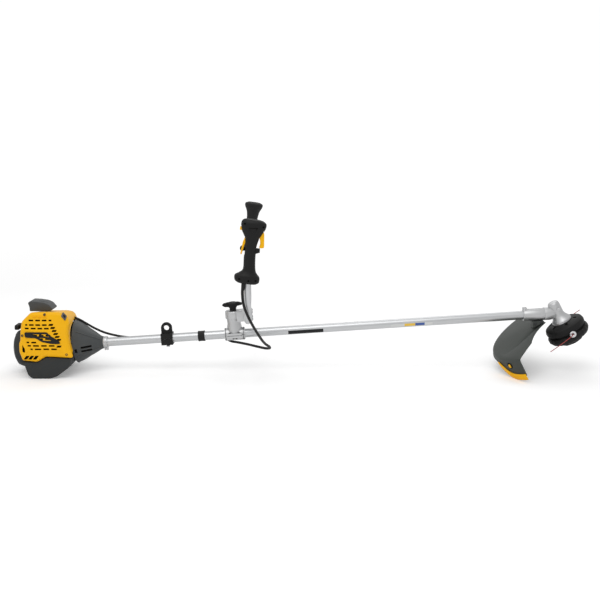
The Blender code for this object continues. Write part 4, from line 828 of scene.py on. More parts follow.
class TRIMMER_OT_shaft(bpy.types.Operator):
    """Builds the shaft tube, its plain label strips, the harness clamp and the cable clip"""

    bl_idname = "trimmer.shaft"
    bl_label = "Shaft and harness clamp"

    def execute(self, context):
        inner = 0.0125
        build("shaft_tube_drawn", lathe([(inner, 0.152), (TUBE_RADIUS, 0.152), (TUBE_RADIUS, 1.560),
                                         (inner, 1.560)], 96, ring=True), "drawn_aluminium", "trimmer",
              at=SHAFT @ ALONG_X, stands_for=["shaft_tube"])
        build("tube_strip_dark", wrap(0.771, 0.883, 175, 230, TUBE_RADIUS), "dark_label", "trimmer", at=SHAFT)
        strips = (("pale", 1.098, 1.142, "pale_label"), ("yellow", 1.142, 1.176, "yellow_label"),
                  ("blue", 1.176, 1.206, "blue_label"), ("end", 1.206, 1.231, "pale_label"))
        for name, start, end, finish in strips:
            build(f"tube_strip_{name}", wrap(start, end, 180, 218, TUBE_RADIUS), finish, "trimmer", at=SHAFT)

        place = SHAFT @ shifted(0.383, 0, 0)
        eye = 0.0345
        a = np.radians(np.linspace(180, 0, 40))
        ear = np.vstack([[(-0.0175, 0.0)], np.stack([0.0175 * np.cos(a), eye + 0.0175 * np.sin(a)], axis=1),
                         [(0.0175, 0.0)]])
        build("harness_eye_clamp", block((-0.0185, -0.0180, -0.0190), (0.0185, 0.0180, 0.0175)),
              "black_plastic", "trimmer", at=place,
              add=[slab(ear, -0.0040, 0.0040), rod(0.0050, -0.0270, -0.0150)],
              cut=[slab(np.stack([0.0085 * np.cos(angles(48)[0]), eye + 0.0085 * np.sin(angles(48)[0])],
                                 axis=1),
                        -0.02, 0.02), moved(rod(TUBE_RADIUS + CLEAR, -0.05, 0.05, 72), ALONG_X),
                   block((-0.03, -0.03, -0.0006), (0.03, 0.03, 0.0006))],
              bevel=0.0012, stands_for=["harness_clamp"])
        build("harness_screws", together([moved(screw(0.0030, 0.0), shifted(x, y, 0.0185))
                                          for x in (-0.0120, 0.0120) for y in (-0.0125, 0.0125)]),
              "dark_screws", "trimmer", at=place, sharp=40)
        build("harness_nut", lathe([(0, -0.0290), (0.0062, -0.0290), (0.0062, -0.0245), (0, -0.0245)], 6),
              "bright_steel", "trimmer", at=place, bevel=0.0005)

        side = 0.0190
        build("cable_clip_band", moved(lathe([(TUBE_RADIUS + CLEAR, -0.0075), (0.0165, -0.0075),
                                              (0.0165, 0.0075), (TUBE_RADIUS + CLEAR, 0.0075)], 72,
                                              ring=True),
                                       ALONG_X), "black_rubber", "trimmer", at=SHAFT @ shifted(0.493, 0, 0),
              add=[block((-0.0075, 0.0150, -0.0065), (0.0075, 0.0262, 0.0065))],
              cut=[moved(rod(0.0043, -0.02, 0.02), shifted(0, side, 0) @ ALONG_X),
                   moved(rod(TUBE_RADIUS + CLEAR, -0.02, 0.02, 72), ALONG_X)],
              bevel=0.0008, stands_for=["cable_clip"])
        lips = [moved(lathe([(TUBE_RADIUS, at), (0.0172, at), (0.0172, at + 0.003),
                             (TUBE_RADIUS, at + 0.003)],
                            72, ring=True), ALONG_X) for at in (-0.0105, 0.0075)]
        build("cable_clip_lips", together(lips), "black_rubber", "trimmer", at=SHAFT @ shifted(0.493, 0, 0),
              bevel=0.0007)
        return {"FINISHED"}


# Handlebar
class TRIMMER_OT_handlebar_clamp(bpy.types.Operator):
    """Builds the cast clamp on the shaft, the turret that swivels on it and its wing knob"""

    bl_idname = "trimmer.handlebar_clamp"
    bl_label = "Handlebar clamp"

    def execute(self, context):
        half = 0.032
        tube_room = moved(rod(TUBE_RADIUS + CLEAR, -0.05, 0.05, 72), ALONG_X)
        collar = moved(rod(0.0200, -half, half, 72), ALONG_X)
        ears = [block((-0.024, y, -0.0085), (0.024, y + 0.011, -0.0015)) for y in (-0.0290, 0.0180)]
        build("clamp_half_lower", collar, "cast_aluminium", "trimmer", at=COLUMN,
              cut=[block((-0.05, -0.05, -0.0015), (0.05, 0.05, 0.05)), tube_room], bevel=0.0010,
              stands_for=["clamp_lower"])
        build("clamp_ears_lower", together(ears), "cast_aluminium", "trimmer", at=COLUMN, bevel=0.0012)
        turret = lathe([(0.0235, 0.004), (0.0235, 0.026), (0.0215, 0.034), (0.0225, 0.0518)], 96)
        ears = [block((-0.024, y, 0.0), (0.024, y + 0.011, 0.0070)) for y in (-0.0290, 0.0180)]
        build("clamp_turret", collar, "cast_aluminium", "trimmer", at=COLUMN,
              add=[turret, *ears],
              cut=[block((-0.05, -0.05, -0.05), (0.05, 0.05, 0.0)), tube_room, rod(0.0045, 0.030, 0.06)],
              bevel=0.0012, stands_for=["clamp_column"])
        # Painted shade: thin dark rings round the collar stand for the shade in its two grooves.
        rings = [moved(lathe([(0.0195, at), (0.0207, at), (0.0207, at + 0.0018), (0.0195, at + 0.0018)], 72,
                             ring=True), ALONG_X) for at in (-0.0290, 0.0272)]
        build("clamp_groove_shade", together(rings), "dark_screws", "trimmer", at=COLUMN, bevel=0.0002, rounds=2)
        screws = [moved(screw(0.0036, 0.0), shifted(x, y, 0.0088))
                  for x in (-0.0150, 0.0150) for y in (-0.0240, 0.0240)]
        low = [moved(screw(0.0032, 0.0), shifted(x, -0.0188,
                                                 -0.0120) @ turned("X", 112)) for x in (-0.004, 0.005)]
        build("clamp_screws", together(screws + low), "dark_screws", "trimmer", at=COLUMN, sharp=40)

        bar_at, bar_height = 0.045, 0.060
        bore = moved(rod(BAR_RADIUS + CLEAR, -0.04, 0.04, 64), shifted(bar_at, 0, bar_height) @ ALONG_Y)
        build("swivel_head", lathe([(0.0250, 0.0522), (0.0260, 0.054), (0.0260, 0.0745), (0.0240, 0.0765)],
                                   96),
              "cast_aluminium", "handlebar", at=SWIVEL,
              add=[block((0.010, -0.0270, bar_height - 0.0165), (bar_at, 0.0270, bar_height + 0.0150))],
              cut=[rod(0.0245, 0.0300, 0.0522, 72), bore, rod(0.0045, 0.050, 0.08)], bevel=0.0016, rounds=4,
              stands_for=["swivel_bracket"])
        build("bar_clamp_cap", block((bar_at + CLEAR, -0.0270, bar_height - 0.0165),
                                     (bar_at + 0.0155, 0.0270, bar_height + 0.0150)),
              "cast_aluminium", "handlebar", at=SWIVEL, cut=[bore], bevel=0.0022, rounds=4,
              stands_for=["bar_cap"])
        screws = [moved(screw(0.0036, 0.0), shifted(bar_at + 0.0168, y, bar_height + z) @ turned("Y", 90))
                  for y in (-0.0190, 0.0190) for z in (-0.0120, 0.0105)]
        build("bar_clamp_screws", together(screws), "dark_screws", "handlebar", at=SWIVEL, sharp=40)

        hub = [(0, 0.0330), (0.0040, 0.0330), (0.0040, 0.0772), (0.0105, 0.0772), (0.0105, 0.084),
               (0.016, 0.0925), (0.016, 0.101), (0.010, 0.1045), (0, 0.105)]
        wing = [(-0.0340, 0.0960), (-0.0300, 0.1000), (-0.0200, 0.1025), (-0.0060, 0.1045), (0.0180, 0.1035),
                (0.0310, 0.0995), (0.0300, 0.0940), (0.0140, 0.0915), (0.0, 0.086), (-0.0140, 0.0890),
                (-0.0260, 0.0900)]
        build("wing_knob", lathe(hub, 64), "black_plastic", "clamp_knob", at=COLUMN,
              add=[slab(rounded(wing, 0.002, 96), -0.0065, 0.0065)], bevel=0.0020, rounds=4, sharp=40,
              stands_for=["clamp_knob"])
        return {"FINISHED"}


def bar_route():
    """The handlebar's centreline in the swivel frame, its right half and its mirror image."""
    lean = np.array([np.sin(radians(GRIP_LEAN)), 0, np.cos(radians(GRIP_LEAN))])
    foot = GRIP_FOOT - GRIP_SPREAD
    route = np.array([(0.045, 0.0, 0.060), (0.045, -0.035, 0.060), (0.045, -0.070, 0.061),
                      (0.047, -0.130, 0.068),
                      (0.049, -0.190, 0.084), (0.050, -0.240, 0.108), (0.051, -0.275, 0.140),
                      (0.053, -0.294, 0.177), *[foot + lean * h for h in (0.005, 0.050, 0.098)]])
    right = smooth_path(route, 8)
    left = right[:0:-1] * np.array([1, -1, 1])
    return np.vstack([left, right])


class TRIMMER_OT_handlebar(bpy.types.Operator):
    """Builds the bent handlebar and the ribbed grip at its left end"""

    bl_idname = "trimmer.handlebar"
    bl_label = "Handlebar and left grip"

    def execute(self, context):
        sizes = context.scene.trimmer_sizes
        build("handlebar_bent", tube(bar_route(), BAR_RADIUS, 40, across=(1, 0, 0)), "drawn_aluminium",
              "handlebar", at=SWIVEL, stands_for=["handlebar_tube"])
        sections = np.array([(0.020, 0.0, 0.0175, 0.0175), (0.023, 0.0, 0.0240, 0.0240),
                             (0.028, 0.0, 0.0240, 0.0240), (0.033, 0.0, 0.0180, 0.0180),
                             (0.060, 0.0, 0.0172, 0.0172), (0.095, 0.0, 0.0180, 0.0180),
                             (0.130, 0.0, 0.0190, 0.0190), (0.152, 0.0, 0.0225, 0.0220),
                             (0.166, 0.0, 0.0290, 0.0280), (0.174, 0.0, 0.0310, 0.0300),
                             (0.180, 0.0, 0.0290, 0.0280), (0.184, 0.0, 0.0200, 0.0200)])
        rows = smooth_path(sections, 16)
        share = np.clip((rows[:, 0] - 0.040) / 0.098, 0, 1)
        swell = 0.0005 * np.sin(2 * np.pi * sizes.grip_ribs * share) * np.sin(np.pi * share) ** 0.3
        rows[:, 2:] += swell[:, None]
        build("left_grip_rubber", loft(rows, 2.0, 72, 1), "black_rubber", "handlebar", at=LEFT,
              cut=[rod(BAR_RADIUS + 0.0003, 0.0, 0.1010, 48)], bevel=0.0006, rounds=2, sharp=50,
              stands_for=["left_grip"])
        return {"FINISHED"}


THROTTLE_GRIP = (
    (0.0, -0.0015, 0.0270, 0.0190), (0.006, -0.0020, 0.0345, 0.0240), (0.020, -0.0030, 0.0350, 0.0245),
    (0.029, -0.0010, 0.0250, 0.0200), (0.040, 0.0005, 0.0178, 0.0175), (0.070, -0.0025, 0.0165, 0.0170),
    (0.100, -0.0035, 0.0168, 0.0170), (0.128, -0.0030, 0.0215, 0.0180), (0.145, -0.0035, 0.0300, 0.0205),
    (0.160, -0.0030, 0.0350, 0.0225), (0.171, -0.0030, 0.0345, 0.0215), (0.178, -0.0050, 0.0270, 0.0160),
    (0.1805, -0.0060, 0.0150, 0.0080))


class TRIMMER_OT_throttle_grip(bpy.types.Operator):
    """Builds the throttle grip with its trigger, lockout lever, stop switch and half-throttle button"""

    bl_idname = "trimmer.throttle_grip"
    bl_label = "Throttle grip"

    def execute(self, context):
        half = 0.0082
        pockets = [rod(BAR_RADIUS + 0.0003, -0.01, 0.1010, 48),
                   slab([(0.0060, 0.1013), (0.0450, 0.1013), (0.0450, 0.1300), (0.0250, 0.1545),
                         (0.0090, 0.1545), (0.0060, 0.1450)], -half, half),
                   slab([(-0.0130, 0.0800), (-0.0300, 0.0740), (-0.0330, 0.1230), (-0.0205, 0.1355),
                         (-0.0125, 0.1355), (-0.0125, 0.0950)], -half, half),
                   block((-0.0420, -0.0046, 0.1455), (-0.0270, 0.0046, 0.1595)),
                   moved(rod(0.0043, -0.01, 0.010), shifted(-0.010, -0.0125, 0))]
        wells = [moved(rod(0.0027, 0.0150 if h < 0.1 else 0.0120, 0.05, 32),
                       shifted(u, 0, h) @ turned("X", 90))
                 for u, h in ((-0.024, 0.012), (0.002, 0.010), (0.022, 0.012), (-0.028, 0.166),
                              (0.024, 0.163))]
        mark = rounded([(-0.0190, 0.1560), (0.0100, 0.1600), (0.0000, 0.1370)], 0.0020, 64)
        inner = rounded([(-0.0155, 0.1545), (0.0060, 0.1575), (-0.0010, 0.1405)], 0.0020, 64)
        rest = slab([(0.0080, 0.0840), (0.0235, 0.0910), (0.0225, 0.1010), (0.0080, 0.1010)], -half, half)
        parting = slab([(-0.06, -0.02), (0.06, -0.02), (0.06, 0.2), (-0.06, 0.2)], -0.00025, 0.00025)
        # A near-black core just inside the shell shows through the parting slit as the dark joint line, and
        # in the recess of the mark as painted shade.
        core = loft([(h, c, a - 0.0009, b - 0.0009) for h, c, a, b in THROTTLE_GRIP], 2.2, 64, 6)
        build("throttle_grip_shell", loft(THROTTLE_GRIP, 2.2, 96, 8), "black_plastic", "handlebar", at=RIGHT,
              add=[rest], cut=[parting, *pockets, *wells,
                               slab(mark, -0.0400, -0.0203)], bevel=0.0004, rounds=2, sharp=50,
              stands_for=["throttle_grip_outer", "throttle_grip_inner"])
        build("throttle_grip_shade_core", core, "dark_inside", "handlebar", at=RIGHT, cut=[*pockets, *wells],
              sharp=50)
        build("grip_mark", slab(inner, -0.0150, -0.0213), "black_plastic", "handlebar", at=RIGHT,
              bevel=0.0005,
              rounds=2)

        trigger = [(0.0180, 0.1525), (0.0245, 0.1510), (0.0290, 0.1440), (0.0335, 0.1080), (0.0310, 0.1040),
                   (0.0200, 0.1030), (0.0215, 0.1150), (0.0160, 0.1400), (0.0130, 0.1480)]
        build("trigger_lever", slab(rounded(trigger, 0.0012, 96), -0.0075, 0.0075), "yellow_plastic",
              "throttle_trigger", at=RIGHT, bevel=0.0022, rounds=4, sharp=50, stands_for=["throttle_trigger"])
        lock = [(-0.0175, 0.1335), (-0.0215, 0.1315), (-0.0270, 0.1150), (-0.0300, 0.0800), (-0.0262, 0.0790),
                (-0.0218, 0.1060), (-0.0155, 0.1260), (-0.0145, 0.1320)]
        build("lockout_paddle", slab(rounded(lock, 0.0008, 96), -0.0065, 0.0065), "yellow_plastic",
              "lockout_lever", at=RIGHT, bevel=0.0012, rounds=3, sharp=50, stands_for=["lockout_lever"])
        button = rounded([(-0.0400, 0.1465), (-0.0285, 0.1465), (-0.0285, 0.1560), (-0.0400, 0.1560)],
                         0.0008, 48)
        build("stop_button", slab(button, -0.0040, 0.0040), "yellow_plastic", "stop_switch", at=RIGHT,
              bevel=0.0010, sharp=50, stands_for=["stop_switch"])
        knob = [(0, 0.0), (0.0055, 0.0), (0.0060, 0.0060), (0.0075, 0.0090), (0.0075, 0.0140),
                (0.0060, 0.0160),
                (0, 0.0160)]
        place = RIGHT @ shifted(-0.0170, 0.0117, 0.094) @ turned("Z", 50) @ turned("X", -90)
        build("half_throttle_button", lathe(knob, 96, flutes=12, depth=0.04), "black_plastic",
              "half_throttle_knob", at=place, bevel=0.0006, rounds=2, sharp=50,
              stands_for=["half_throttle_knob"])
        return {"FINISHED"}


# Cables
LOOP_ROUTE = (
    (0.649843, -0.309071, 0.340674), (0.645576, -0.309452, 0.310981), (0.650, -0.297, 0.268),
    (0.668, -0.262, 0.213), (0.690, -0.205, 0.157), (0.701, -0.150, 0.126), (0.7125, -0.110, 0.106),
    (0.7120, -0.083, 0.0945), (0.698, -0.061, 0.0885), (0.672, -0.038, 0.0880), (0.640, -0.016, 0.0900),
    (0.608, 0.003, 0.0915),
    (0.584, 0.0165, 0.0925), (0.567, 0.0215, 0.1015), (0.559166, 0.019, 0.112127))
RUN_ROUTE = (
    (0.5550, 0.0190, -0.0053), (0.530, 0.0190, -0.001), (0.493, 0.0190, 0), (0.440, 0.0210, 0),
    (0.400, 0.0225, 0), (0.365, 0.0225, 0), (0.320, 0.0190, 0.001), (0.260, 0.0190, 0.006),
    (0.220, 0.0190, 0.014), (0.180, 0.0180, 0.0275), (0.150, 0.0180, 0.0435), (0.125, 0.0180, 0.0605),
    (0.1035, 0.0180, 0.0755), (0.0780, 0.0180, 0.0880))


class TRIMMER_OT_cables(bpy.types.Operator):
    """Builds the throttle cable: its free loop under the handlebar and its run along the shaft"""

    bl_idname = "trimmer.cables"
    bl_label = "Throttle cable"

    def execute(self, context):
        fine = smooth_path(LOOP_ROUTE, 10)
        loop = solid("throttle_cable_free", tube(fine, 0.0040, 32, across=(1, 1, 1)))
        loop.data.materials.append(bpy.data.materials["black_rubber"])
        loop.data.shade_smooth()
        loop.data.set_sharp_from_angle(angle=radians(40))
        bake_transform(loop)
        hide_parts("throttle_cable_loop")
        build("throttle_cable_fixed", tube(smooth_path(RUN_ROUTE, 8), 0.0036, 24), "black_rubber", "trimmer",
              at=SHAFT, stands_for=["throttle_cable_run"])
        sleeve = [(0.0, -0.0010), (0.0062, -0.0010), (0.0062, 0.0030), (0.0048, 0.0200), (0.0, 0.0200)]
        build("cable_sleeve", lathe(sleeve, 40), "black_rubber", "handlebar",
              at=RIGHT @ shifted(-0.010, -0.0125, 0.0) @ turned("Y", 180), bevel=0.0006, rounds=2)
        return {"FINISHED"}


# Gear case and cutting head
class TRIMMER_OT_gear_case(bpy.types.Operator):
    """Builds the cast gear case with its clamp lug, plug and screws, and the bracket under it"""

    bl_idname = "trimmer.gear_case"
    bl_label = "Gear case"

    def execute(self, context):
        flip = np.linalg.inv(SHAFT)
        head = flip @ HEAD
        neck = [(0.0175, 1.5215), (0.0190, 1.5240), (0.0190, 1.5845), (0.0183, 1.5850), (0.0183, 1.5868),
                (0.0205, 1.5875), (0.0205, 1.6040), (0.0185, 1.6200), (0.0120, 1.6300)]
        tower = [(0.0300, -0.0265), (0.0300, -0.0225), (0.0250, -0.0165), (0.0195, -0.0070), (0.0180, 0.0020),
                 (0.0185, 0.0290), (0.0155, 0.0380), (0.0090, 0.0410)]
        build("gear_case_cast", moved(lathe(neck, 80), ALONG_X), "cast_aluminium", "trimmer", at=SHAFT,
              add=[moved(lathe(smooth_path(tower, 3), 80), head),
                   block((1.5215, -0.0080, 0.0120), (1.5330, 0.0080, 0.0245)),
                   moved(lathe([(0.0062, 0.0), (0.0055, 0.0225)], 40),
                         head @ shifted(0.004, 0, 0.016) @ turned("X", 90))],
              cut=[block((1.5000, -0.0008, 0.0100), (1.5420, 0.0008, 0.0300)),
                   moved(rod(TUBE_RADIUS + CLEAR, 1.500, 1.5610, 64), ALONG_X),
                   moved(rod(0.0115, 1.500, 1.6365, 48), ALONG_X),
                   moved(lathe([(0.0128, -0.040), (0.0128, 0.0005), (0.0140, 0.0015), (0.0140, 0.0280)],
                               64), head)],
              bevel=0.0010, rounds=3, stands_for=["gear_case"])
        build("case_rim", lathe([(0.0240, -0.0267), (0.0306, -0.0267), (0.0306, -0.0232),
                                 (0.0240, -0.0232)], 96,
                                ring=True), "bright_steel", "trimmer", at=HEAD, bevel=0.0007)
        lug = moved(screw(0.0042, 0.0), shifted(1.5272, -0.0102, 0.0185) @ turned("X", 90))
        plug = moved(screw(0.0040, 0.0), head @ shifted(0.004, -0.0240, 0.016) @ turned("X", 90))
        build("case_screws", together([lug, plug]), "bright_steel", "trimmer", at=SHAFT, sharp=40)
        wedge = [(1.548, -0.0195), (1.5845, -0.0195), (1.5845, -0.0240), (1.548, -0.0415)]
        build("guard_foot", slab(rounded(wedge, 0.001, 64), -0.0180, 0.0180), "grey_plastic", "trimmer",
              at=SHAFT, bevel=0.0015, sharp=50, stands_for=["guard_bracket"])
        bolts = [moved(screw(0.0048, 0.0), shifted(x, -0.0195, z) @ turned("X", 90))
                 for x, z in ((1.5560, -0.0265), (1.5740, -0.0230))]
        build("guard_bolts", together(bolts), "dark_screws", "trimmer", at=SHAFT, sharp=40)
        return {"FINISHED"}


class TRIMMER_OT_cutting_head(bpy.types.Operator):
    """Builds the bump-feed head: its two shells, collar plate, eyelets, knob and cutting line"""

    bl_idname = "trimmer.cutting_head"
    bl_label = "Cutting head"

    def execute(self, context):
        flutes = context.scene.trimmer_sizes.head_flutes
        upper = [(0.0070, -0.0303), (0.0330, -0.0303), (0.0480, -0.0335), (0.0600, -0.0400),
                 (0.0632, -0.0490),
                 (0.0622, -0.0575), (0.0570, -0.0600), (0.0570, -0.0655), (0.0545, -0.0655),
                 (0.0545, -0.0580),
                 (0.0590, -0.0550), (0.0600, -0.0480), (0.0570, -0.0425), (0.0470, -0.0370),
                 (0.0330, -0.0340),
                 (0.0070, -0.0340)]
        windows = [moved(block((0.0360, -0.0042, -0.045), (0.0470, 0.0042, -0.025)), turned("Z", 60 * k + 30))
                   for k in range(6)]
        build("head_shell_upper", lathe(upper, 144, ring=True), "black_plastic", "head", at=HEAD,
              cut=[together(windows)], bevel=0.0009, rounds=3, stands_for=["head_housing"])
        lower = [(0.0545, -0.0659), (0.0640, -0.0665), (0.0660, -0.0720), (0.0655, -0.0790),
                 (0.0600, -0.0880),
                 (0.0480, -0.0935), (0.0380, -0.0950), (0.0380, -0.0920), (0.0480, -0.0900),
                 (0.0580, -0.0850),
                 (0.0625, -0.0780), (0.0625, -0.0720), (0.0545, -0.0690)]
        build("head_shell_lower", lathe(lower, 288, ring=True, flutes=flutes, depth=0.006), "black_plastic",
              "head", at=HEAD, bevel=0.0006, rounds=2, stands_for=["head_base"])
        build("collar_disc", lathe([(0.0052, -0.0300), (0.0312, -0.0300), (0.0312, -0.0268),
                                    (0.0052, -0.0268)],
                                   96, ring=True), "bright_steel", "head", at=HEAD, bevel=0.0006,
              stands_for=["collar_plate"])
        cup = [(0.0028, 0.0), (0.0028, 0.0070), (0.0048, 0.0090), (0.0094, 0.0096), (0.0106, 0.0080),
               (0.0086, 0.0066), (0.0070, 0.0)]
        eyelets = [moved(lathe(cup, 48, ring=True), shifted(0, side * 0.0570, -0.0635)
                         @ turned("X", -90 * side)) for side in (-1, 1)]
        build("line_eyelets", together(eyelets), "bright_steel", "head", at=HEAD, bevel=0.0003, rounds=2)
        knob = [(0, -0.1070), (0.0250, -0.1060), (0.0345, -0.1030), (0.0355, -0.0990), (0.0330, -0.0970),
                (0.0250, -0.0960), (0.0250, -0.0675), (0, -0.0675)]
        build("bump_button", lathe(knob, 144, flutes=8, depth=0.020), "black_plastic", "bump_feed", at=HEAD,
              bevel=0.0010, rounds=3, stands_for=["bump_knob"])
        height = -0.0628
        near = [(0.0, -0.0600), (-0.001, -0.0680), (-0.006, -0.0740), (-0.030, -0.0860), (-0.060, -0.0970),
                (-0.092, -0.1060)]
        far = [(0.0, 0.0600), (0.001, 0.0680), (0.006, 0.0740), (0.030, 0.0860), (0.060, 0.0970),
               (0.085, 0.1040)]
        for name, route, node in (("near", near, "cutting_line_near"), ("far", far, "cutting_line_far")):
            path = smooth_path([(x, y, height) for x, y in route], 8)
            build(f"line_{name}", tube(path, 0.0012, 16), "red_nylon", "head", at=HEAD, stands_for=[node])
        return {"FINISHED"}


GUARD_RIM = 0.240
GUARD_ROOT = 0.052
GUARD_EDGES = np.radians([-66, 37])


def guard_points(rho, theta, drop):
    """Points by distance from the head's axis, angle from straight back, and drop along the axis."""
    return np.stack([-rho * np.cos(theta), -rho * np.sin(theta), -drop + 0 * theta], axis=-1)


def guard_low(theta):
    """Depth of the skirt's lower edge: a smooth step from 36 mm to 79 mm near 16 degrees."""
    return 0.036 + 0.043 / (1 + np.exp(-(np.degrees(theta) - 16) / 3.5))


def guard_skin():
    """The guard as distance, drop and angle: a fan that falls as the square of the way out, with a
    radial crease, and a rim that turns down into a skirt."""
    theta = np.linspace(*GUARD_EDGES, 120)[None, :]
    t = np.linspace(0, 1, 28)[:, None]
    valley = 0.019 * np.exp(-np.abs(theta - radians(13)) / radians(9))
    fan = guard_points(GUARD_ROOT + (GUARD_RIM - 0.012 - GUARD_ROOT) * t + 0 * theta,
                       theta * (0.45 + 0.55 * np.minimum(1.0, t * 1.6)),
                       0.002 + 0.018 * t ** 2 + valley * (1 - t) * t * 2.2)
    turn = smooth_path([(GUARD_RIM - 0.012, 0.020), (GUARD_RIM - 0.003, 0.0235), (GUARD_RIM, 0.031)], 4)[1:]
    bend = guard_points(turn[:, :1] + 0 * theta, theta + 0 * turn[:, :1], turn[:, 1:] + 0 * theta)
    s = np.linspace(0, 1, 9)[1:, None]
    skirt = guard_points(GUARD_RIM + 0.003 * s + 0 * theta, theta + 0 * s,
                         0.031 + (guard_low(theta) - 0.031) * s)
    return np.concatenate([fan, bend, skirt])


class TRIMMER_OT_guard(bpy.types.Operator):
    """Builds the grey guard, its yellow edge strip and the clip that holds the strip"""

    bl_idname = "trimmer.guard"
    bl_label = "Guard"

    def execute(self, context):
        clip_turn = 24
        a = angles(48)[0]
        oval = np.stack([0.0105 * np.cos(a), 0.0098 * np.sin(a)], axis=1)
        clip_middle = guard_points(GUARD_RIM + 0.002, np.radians(clip_turn), 0.043)
        clip_place = shifted(*clip_middle) @ turned("Z", 90 + clip_turn) @ turned("X", 90)
        build("guard_shell", patch(guard_skin()), "grey_plastic", "trimmer", at=HEAD, wall=0.0028,
              cut=[moved(slab(oval, -0.02, 0.02, "XY"), clip_place)], bevel=0.0007, rounds=2, sharp=45,
              stands_for=["guard"])
        # Painted shade: a near-black oval under the clip fills the hole in the guard with the shade that lies
        # there.
        build("clip_hole_shade", slab(oval * 1.06, 0.0004, 0.0038, "XY"), "dark_inside", "trimmer",
              at=HEAD @ clip_place, bevel=0.0004, sharp=50)
        clip = [(-0.0045, -0.0060), (0.0045, -0.0060), (0.0060, 0.0005), (0.0020, 0.0060), (-0.0045, 0.0050)]
        build("guard_clip", slab(rounded(clip, 0.0015, 48), -0.0016, 0.0026, "XY"), "yellow_plastic",
              "trimmer",
              at=HEAD @ clip_place, bevel=0.0007, sharp=50)
        start, end = radians(9), GUARD_EDGES[1]
        theta = np.linspace(start, end, 64)
        inner = GUARD_RIM + 0.0036
        outer = inner + 0.0030
        tilt = radians(HEAD_TILT)
        floor_drop = (GEAR_CENTRE[2] - outer * np.cos(theta) * np.sin(tilt)) / np.cos(tilt)
        reach = np.min(floor_drop - guard_low(theta))
        high = guard_low(theta) - 0.007
        low = guard_low(theta) + reach * np.minimum(1.0, (theta - start) / radians(6) + 0.35)
        corners = [guard_points(radius + 0 * theta, theta, drop)
                   for radius, drop in ((inner, high), (outer, high), (outer, low), (inner, low))]
        theta = np.radians(np.linspace(26, 34, 8))
        blade = [guard_points(radius + 0 * theta, theta, drop + 0 * theta)
                 for radius, drop in ((0.2360, 0.062), (0.2360, 0.088), (0.2348, 0.088), (0.2348, 0.062))]
        build("cutter_blade", woven(np.stack(blade, axis=1)), "steel", "trimmer", at=HEAD, bevel=0.0002,
              stands_for=["line_cutter"])
        build("guard_edge", woven(np.stack(corners, axis=1)), "yellow_plastic", "trimmer", at=HEAD,
              bevel=0.0008,
              rounds=2, sharp=50, stands_for=["guard_extension"])
        return {"FINISHED"}


# Stage
CAMERA_PLACE = (0.807, -2.6, 0.741)
CAMERA_PITCH = radians(78.9)
FLOOR_MIDDLE = 0.8
FLOOR_GAP = 0.0004


class TRIMMER_OT_stage(bpy.types.Operator):
    """Sets the pale floor, soft lights and camera"""

    bl_idname = "trimmer.stage"
    bl_label = "Stage"

    def execute(self, context):
        scene = context.scene
        sizes = scene.stage_sizes
        r = np.array([0.0, 1.5, 6.0, sizes.floor_radius])[:, None]
        a = angles(64)
        disc = np.stack([FLOOR_MIDDLE + r * np.cos(a), r * np.sin(a), 0 * (r + a) - FLOOR_GAP], axis=-1)
        points, faces = woven(disc)
        floor = solid("studio_floor", (points, faces[:-2]))
        if floor.data.polygons[0].normal.z < 0:
            floor.data.flip_normals()
        paper = bpy.data.materials.new("studio_floor")
        paper.use_nodes = True
        tree = paper.node_tree
        shader = tree.nodes["Principled BSDF"]
        shader.inputs["Roughness"].default_value = 0.9
        shader.inputs["Specular IOR Level"].default_value = 0.2
        place = add_node(tree, "ShaderNodeTexCoord")
        seen = add_node(tree, "ShaderNodeLightPath")
        away = add_node(tree, "ShaderNodeVectorMath", [(0, place.outputs["Object"])], operation="LENGTH")
        fade = add_node(tree, "ShaderNodeMapRange", [("Value", away.outputs["Value"]), ("From Min", 1.6),
                                                     ("From Max", 4.5), ("To Min", sizes.floor_lift),
                                                     ("To Max", sizes.floor_lift + 0.2)])
        lift = add_node(tree, "ShaderNodeMath", [(0, seen.outputs["Is Camera Ray"]), (1, fade.outputs[0])],
                        operation="MULTIPLY")
        tree.links.new(lift.outputs[0], shader.inputs["Emission Strength"])
        noise = add_node(tree, "ShaderNodeTexNoise", [("Vector", place.outputs["Object"]), ("Scale", 3.0)])
        tint = add_node(tree, "ShaderNodeMapRange", [("Value", noise.outputs["Fac"]), ("To Min", 0.93),
                                                     ("To Max", 0.95)])
        tree.links.new(tint.outputs[0], shader.inputs["Base Color"])
        floor.data.materials.append(paper)

        scene.view_settings.view_transform = "Standard"
        world = bpy.data.worlds.new("studio_surround")
        world.use_nodes = True
        sky = world.node_tree
        sky.nodes["Background"].inputs["Color"].default_value = (1.0, 1.0, 1.0, 1)
        seen = add_node(sky, "ShaderNodeLightPath")
        strength = add_node(sky, "ShaderNodeMapRange", [("Value", seen.outputs["Is Camera Ray"]),
                                                        ("To Min", sizes.surround),
                                                        ("To Max", sizes.backdrop)])
        sky.links.new(strength.outputs[0], sky.nodes["Background"].inputs["Strength"])
        scene.world = world
        for name, place, aim, size, power in (
                ("key_light", (0.2, -1.6, 3.0), (35, 0, 5), 2.6, sizes.key_power),
                ("far_light", (1.4, 2.0, 2.4), (-42, 0, 10), 2.0, sizes.key_power * 0.35)):
            light = bpy.data.lights.new(name, "AREA")
            light.shape = "DISK"
            light.size = size
            light.energy = power
            lamp = bpy.data.objects.new(name, light)
            lamp.location = place
            lamp.rotation_euler = np.radians(aim)
            scene.collection.objects.link(lamp)

        lens = bpy.data.cameras.new("camera")
        lens.lens = 50
        lens.sensor_width = 36
        camera = bpy.data.objects.new("camera", lens)
        camera.location = CAMERA_PLACE
        camera.rotation_euler = (CAMERA_PITCH, 0, 0)
        scene.collection.objects.link(camera)
        scene.camera = camera
        return {"FINISHED"}


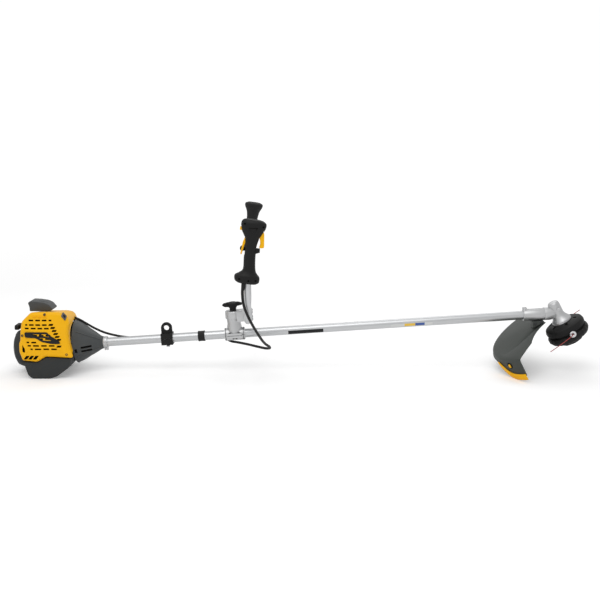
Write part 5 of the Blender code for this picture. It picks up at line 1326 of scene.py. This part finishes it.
class TRIMMER_PT_pieces(bpy.types.Panel):
    """Lists the pieces, with their sizes and colours"""

    bl_idname = "TRIMMER_PT_pieces"
    bl_label = "String trimmer"
    bl_space_type = "VIEW_3D"
    bl_region_type = "UI"
    bl_category = "Trimmer"

    def draw(self, context):
        scene = context.scene
        for group in (scene.trimmer_colours, scene.trimmer_sizes, scene.stage_sizes):
            for key in group.__annotations__:
                self.layout.prop(group, key)
        for operator in OPERATORS:
            self.layout.operator(operator.bl_idname)


OPERATORS = (TRIMMER_OT_finishes, TRIMMER_OT_engine_cover, TRIMMER_OT_filter_side, TRIMMER_OT_tank,
             TRIMMER_OT_starter, TRIMMER_OT_clutch_cone, TRIMMER_OT_shaft, TRIMMER_OT_handlebar_clamp,
             TRIMMER_OT_handlebar, TRIMMER_OT_throttle_grip, TRIMMER_OT_cables, TRIMMER_OT_gear_case,
             TRIMMER_OT_cutting_head, TRIMMER_OT_guard, TRIMMER_OT_stage)
GROUPS = (("trimmer_colours", TrimmerColours), ("trimmer_sizes", TrimmerSizes), ("stage_sizes", StageSizes))


def register():
    for name, group in GROUPS:
        bpy.utils.register_class(group)
        setattr(bpy.types.Scene, name, bpy.props.PointerProperty(type=group))
    for operator in OPERATORS:
        bpy.utils.register_class(operator)
    bpy.utils.register_class(TRIMMER_PT_pieces)


def unregister():
    bpy.utils.unregister_class(TRIMMER_PT_pieces)
    for operator in reversed(OPERATORS):
        bpy.utils.unregister_class(operator)
    for name, group in reversed(GROUPS):
        delattr(bpy.types.Scene, name)
        bpy.utils.unregister_class(group)


def main():
    register()
    bpy.ops.trimmer.finishes()
    bpy.ops.trimmer.engine_cover()
    bpy.ops.trimmer.filter_side()
    bpy.ops.trimmer.tank()
    bpy.ops.trimmer.starter()
    bpy.ops.trimmer.clutch_cone()
    bpy.ops.trimmer.shaft()
    bpy.ops.trimmer.handlebar_clamp()
    bpy.ops.trimmer.handlebar()
    bpy.ops.trimmer.throttle_grip()
    bpy.ops.trimmer.cables()
    bpy.ops.trimmer.gear_case()
    bpy.ops.trimmer.cutting_head()
    bpy.ops.trimmer.guard()
    bpy.ops.trimmer.stage()


if __name__ == "__main__":
    main()
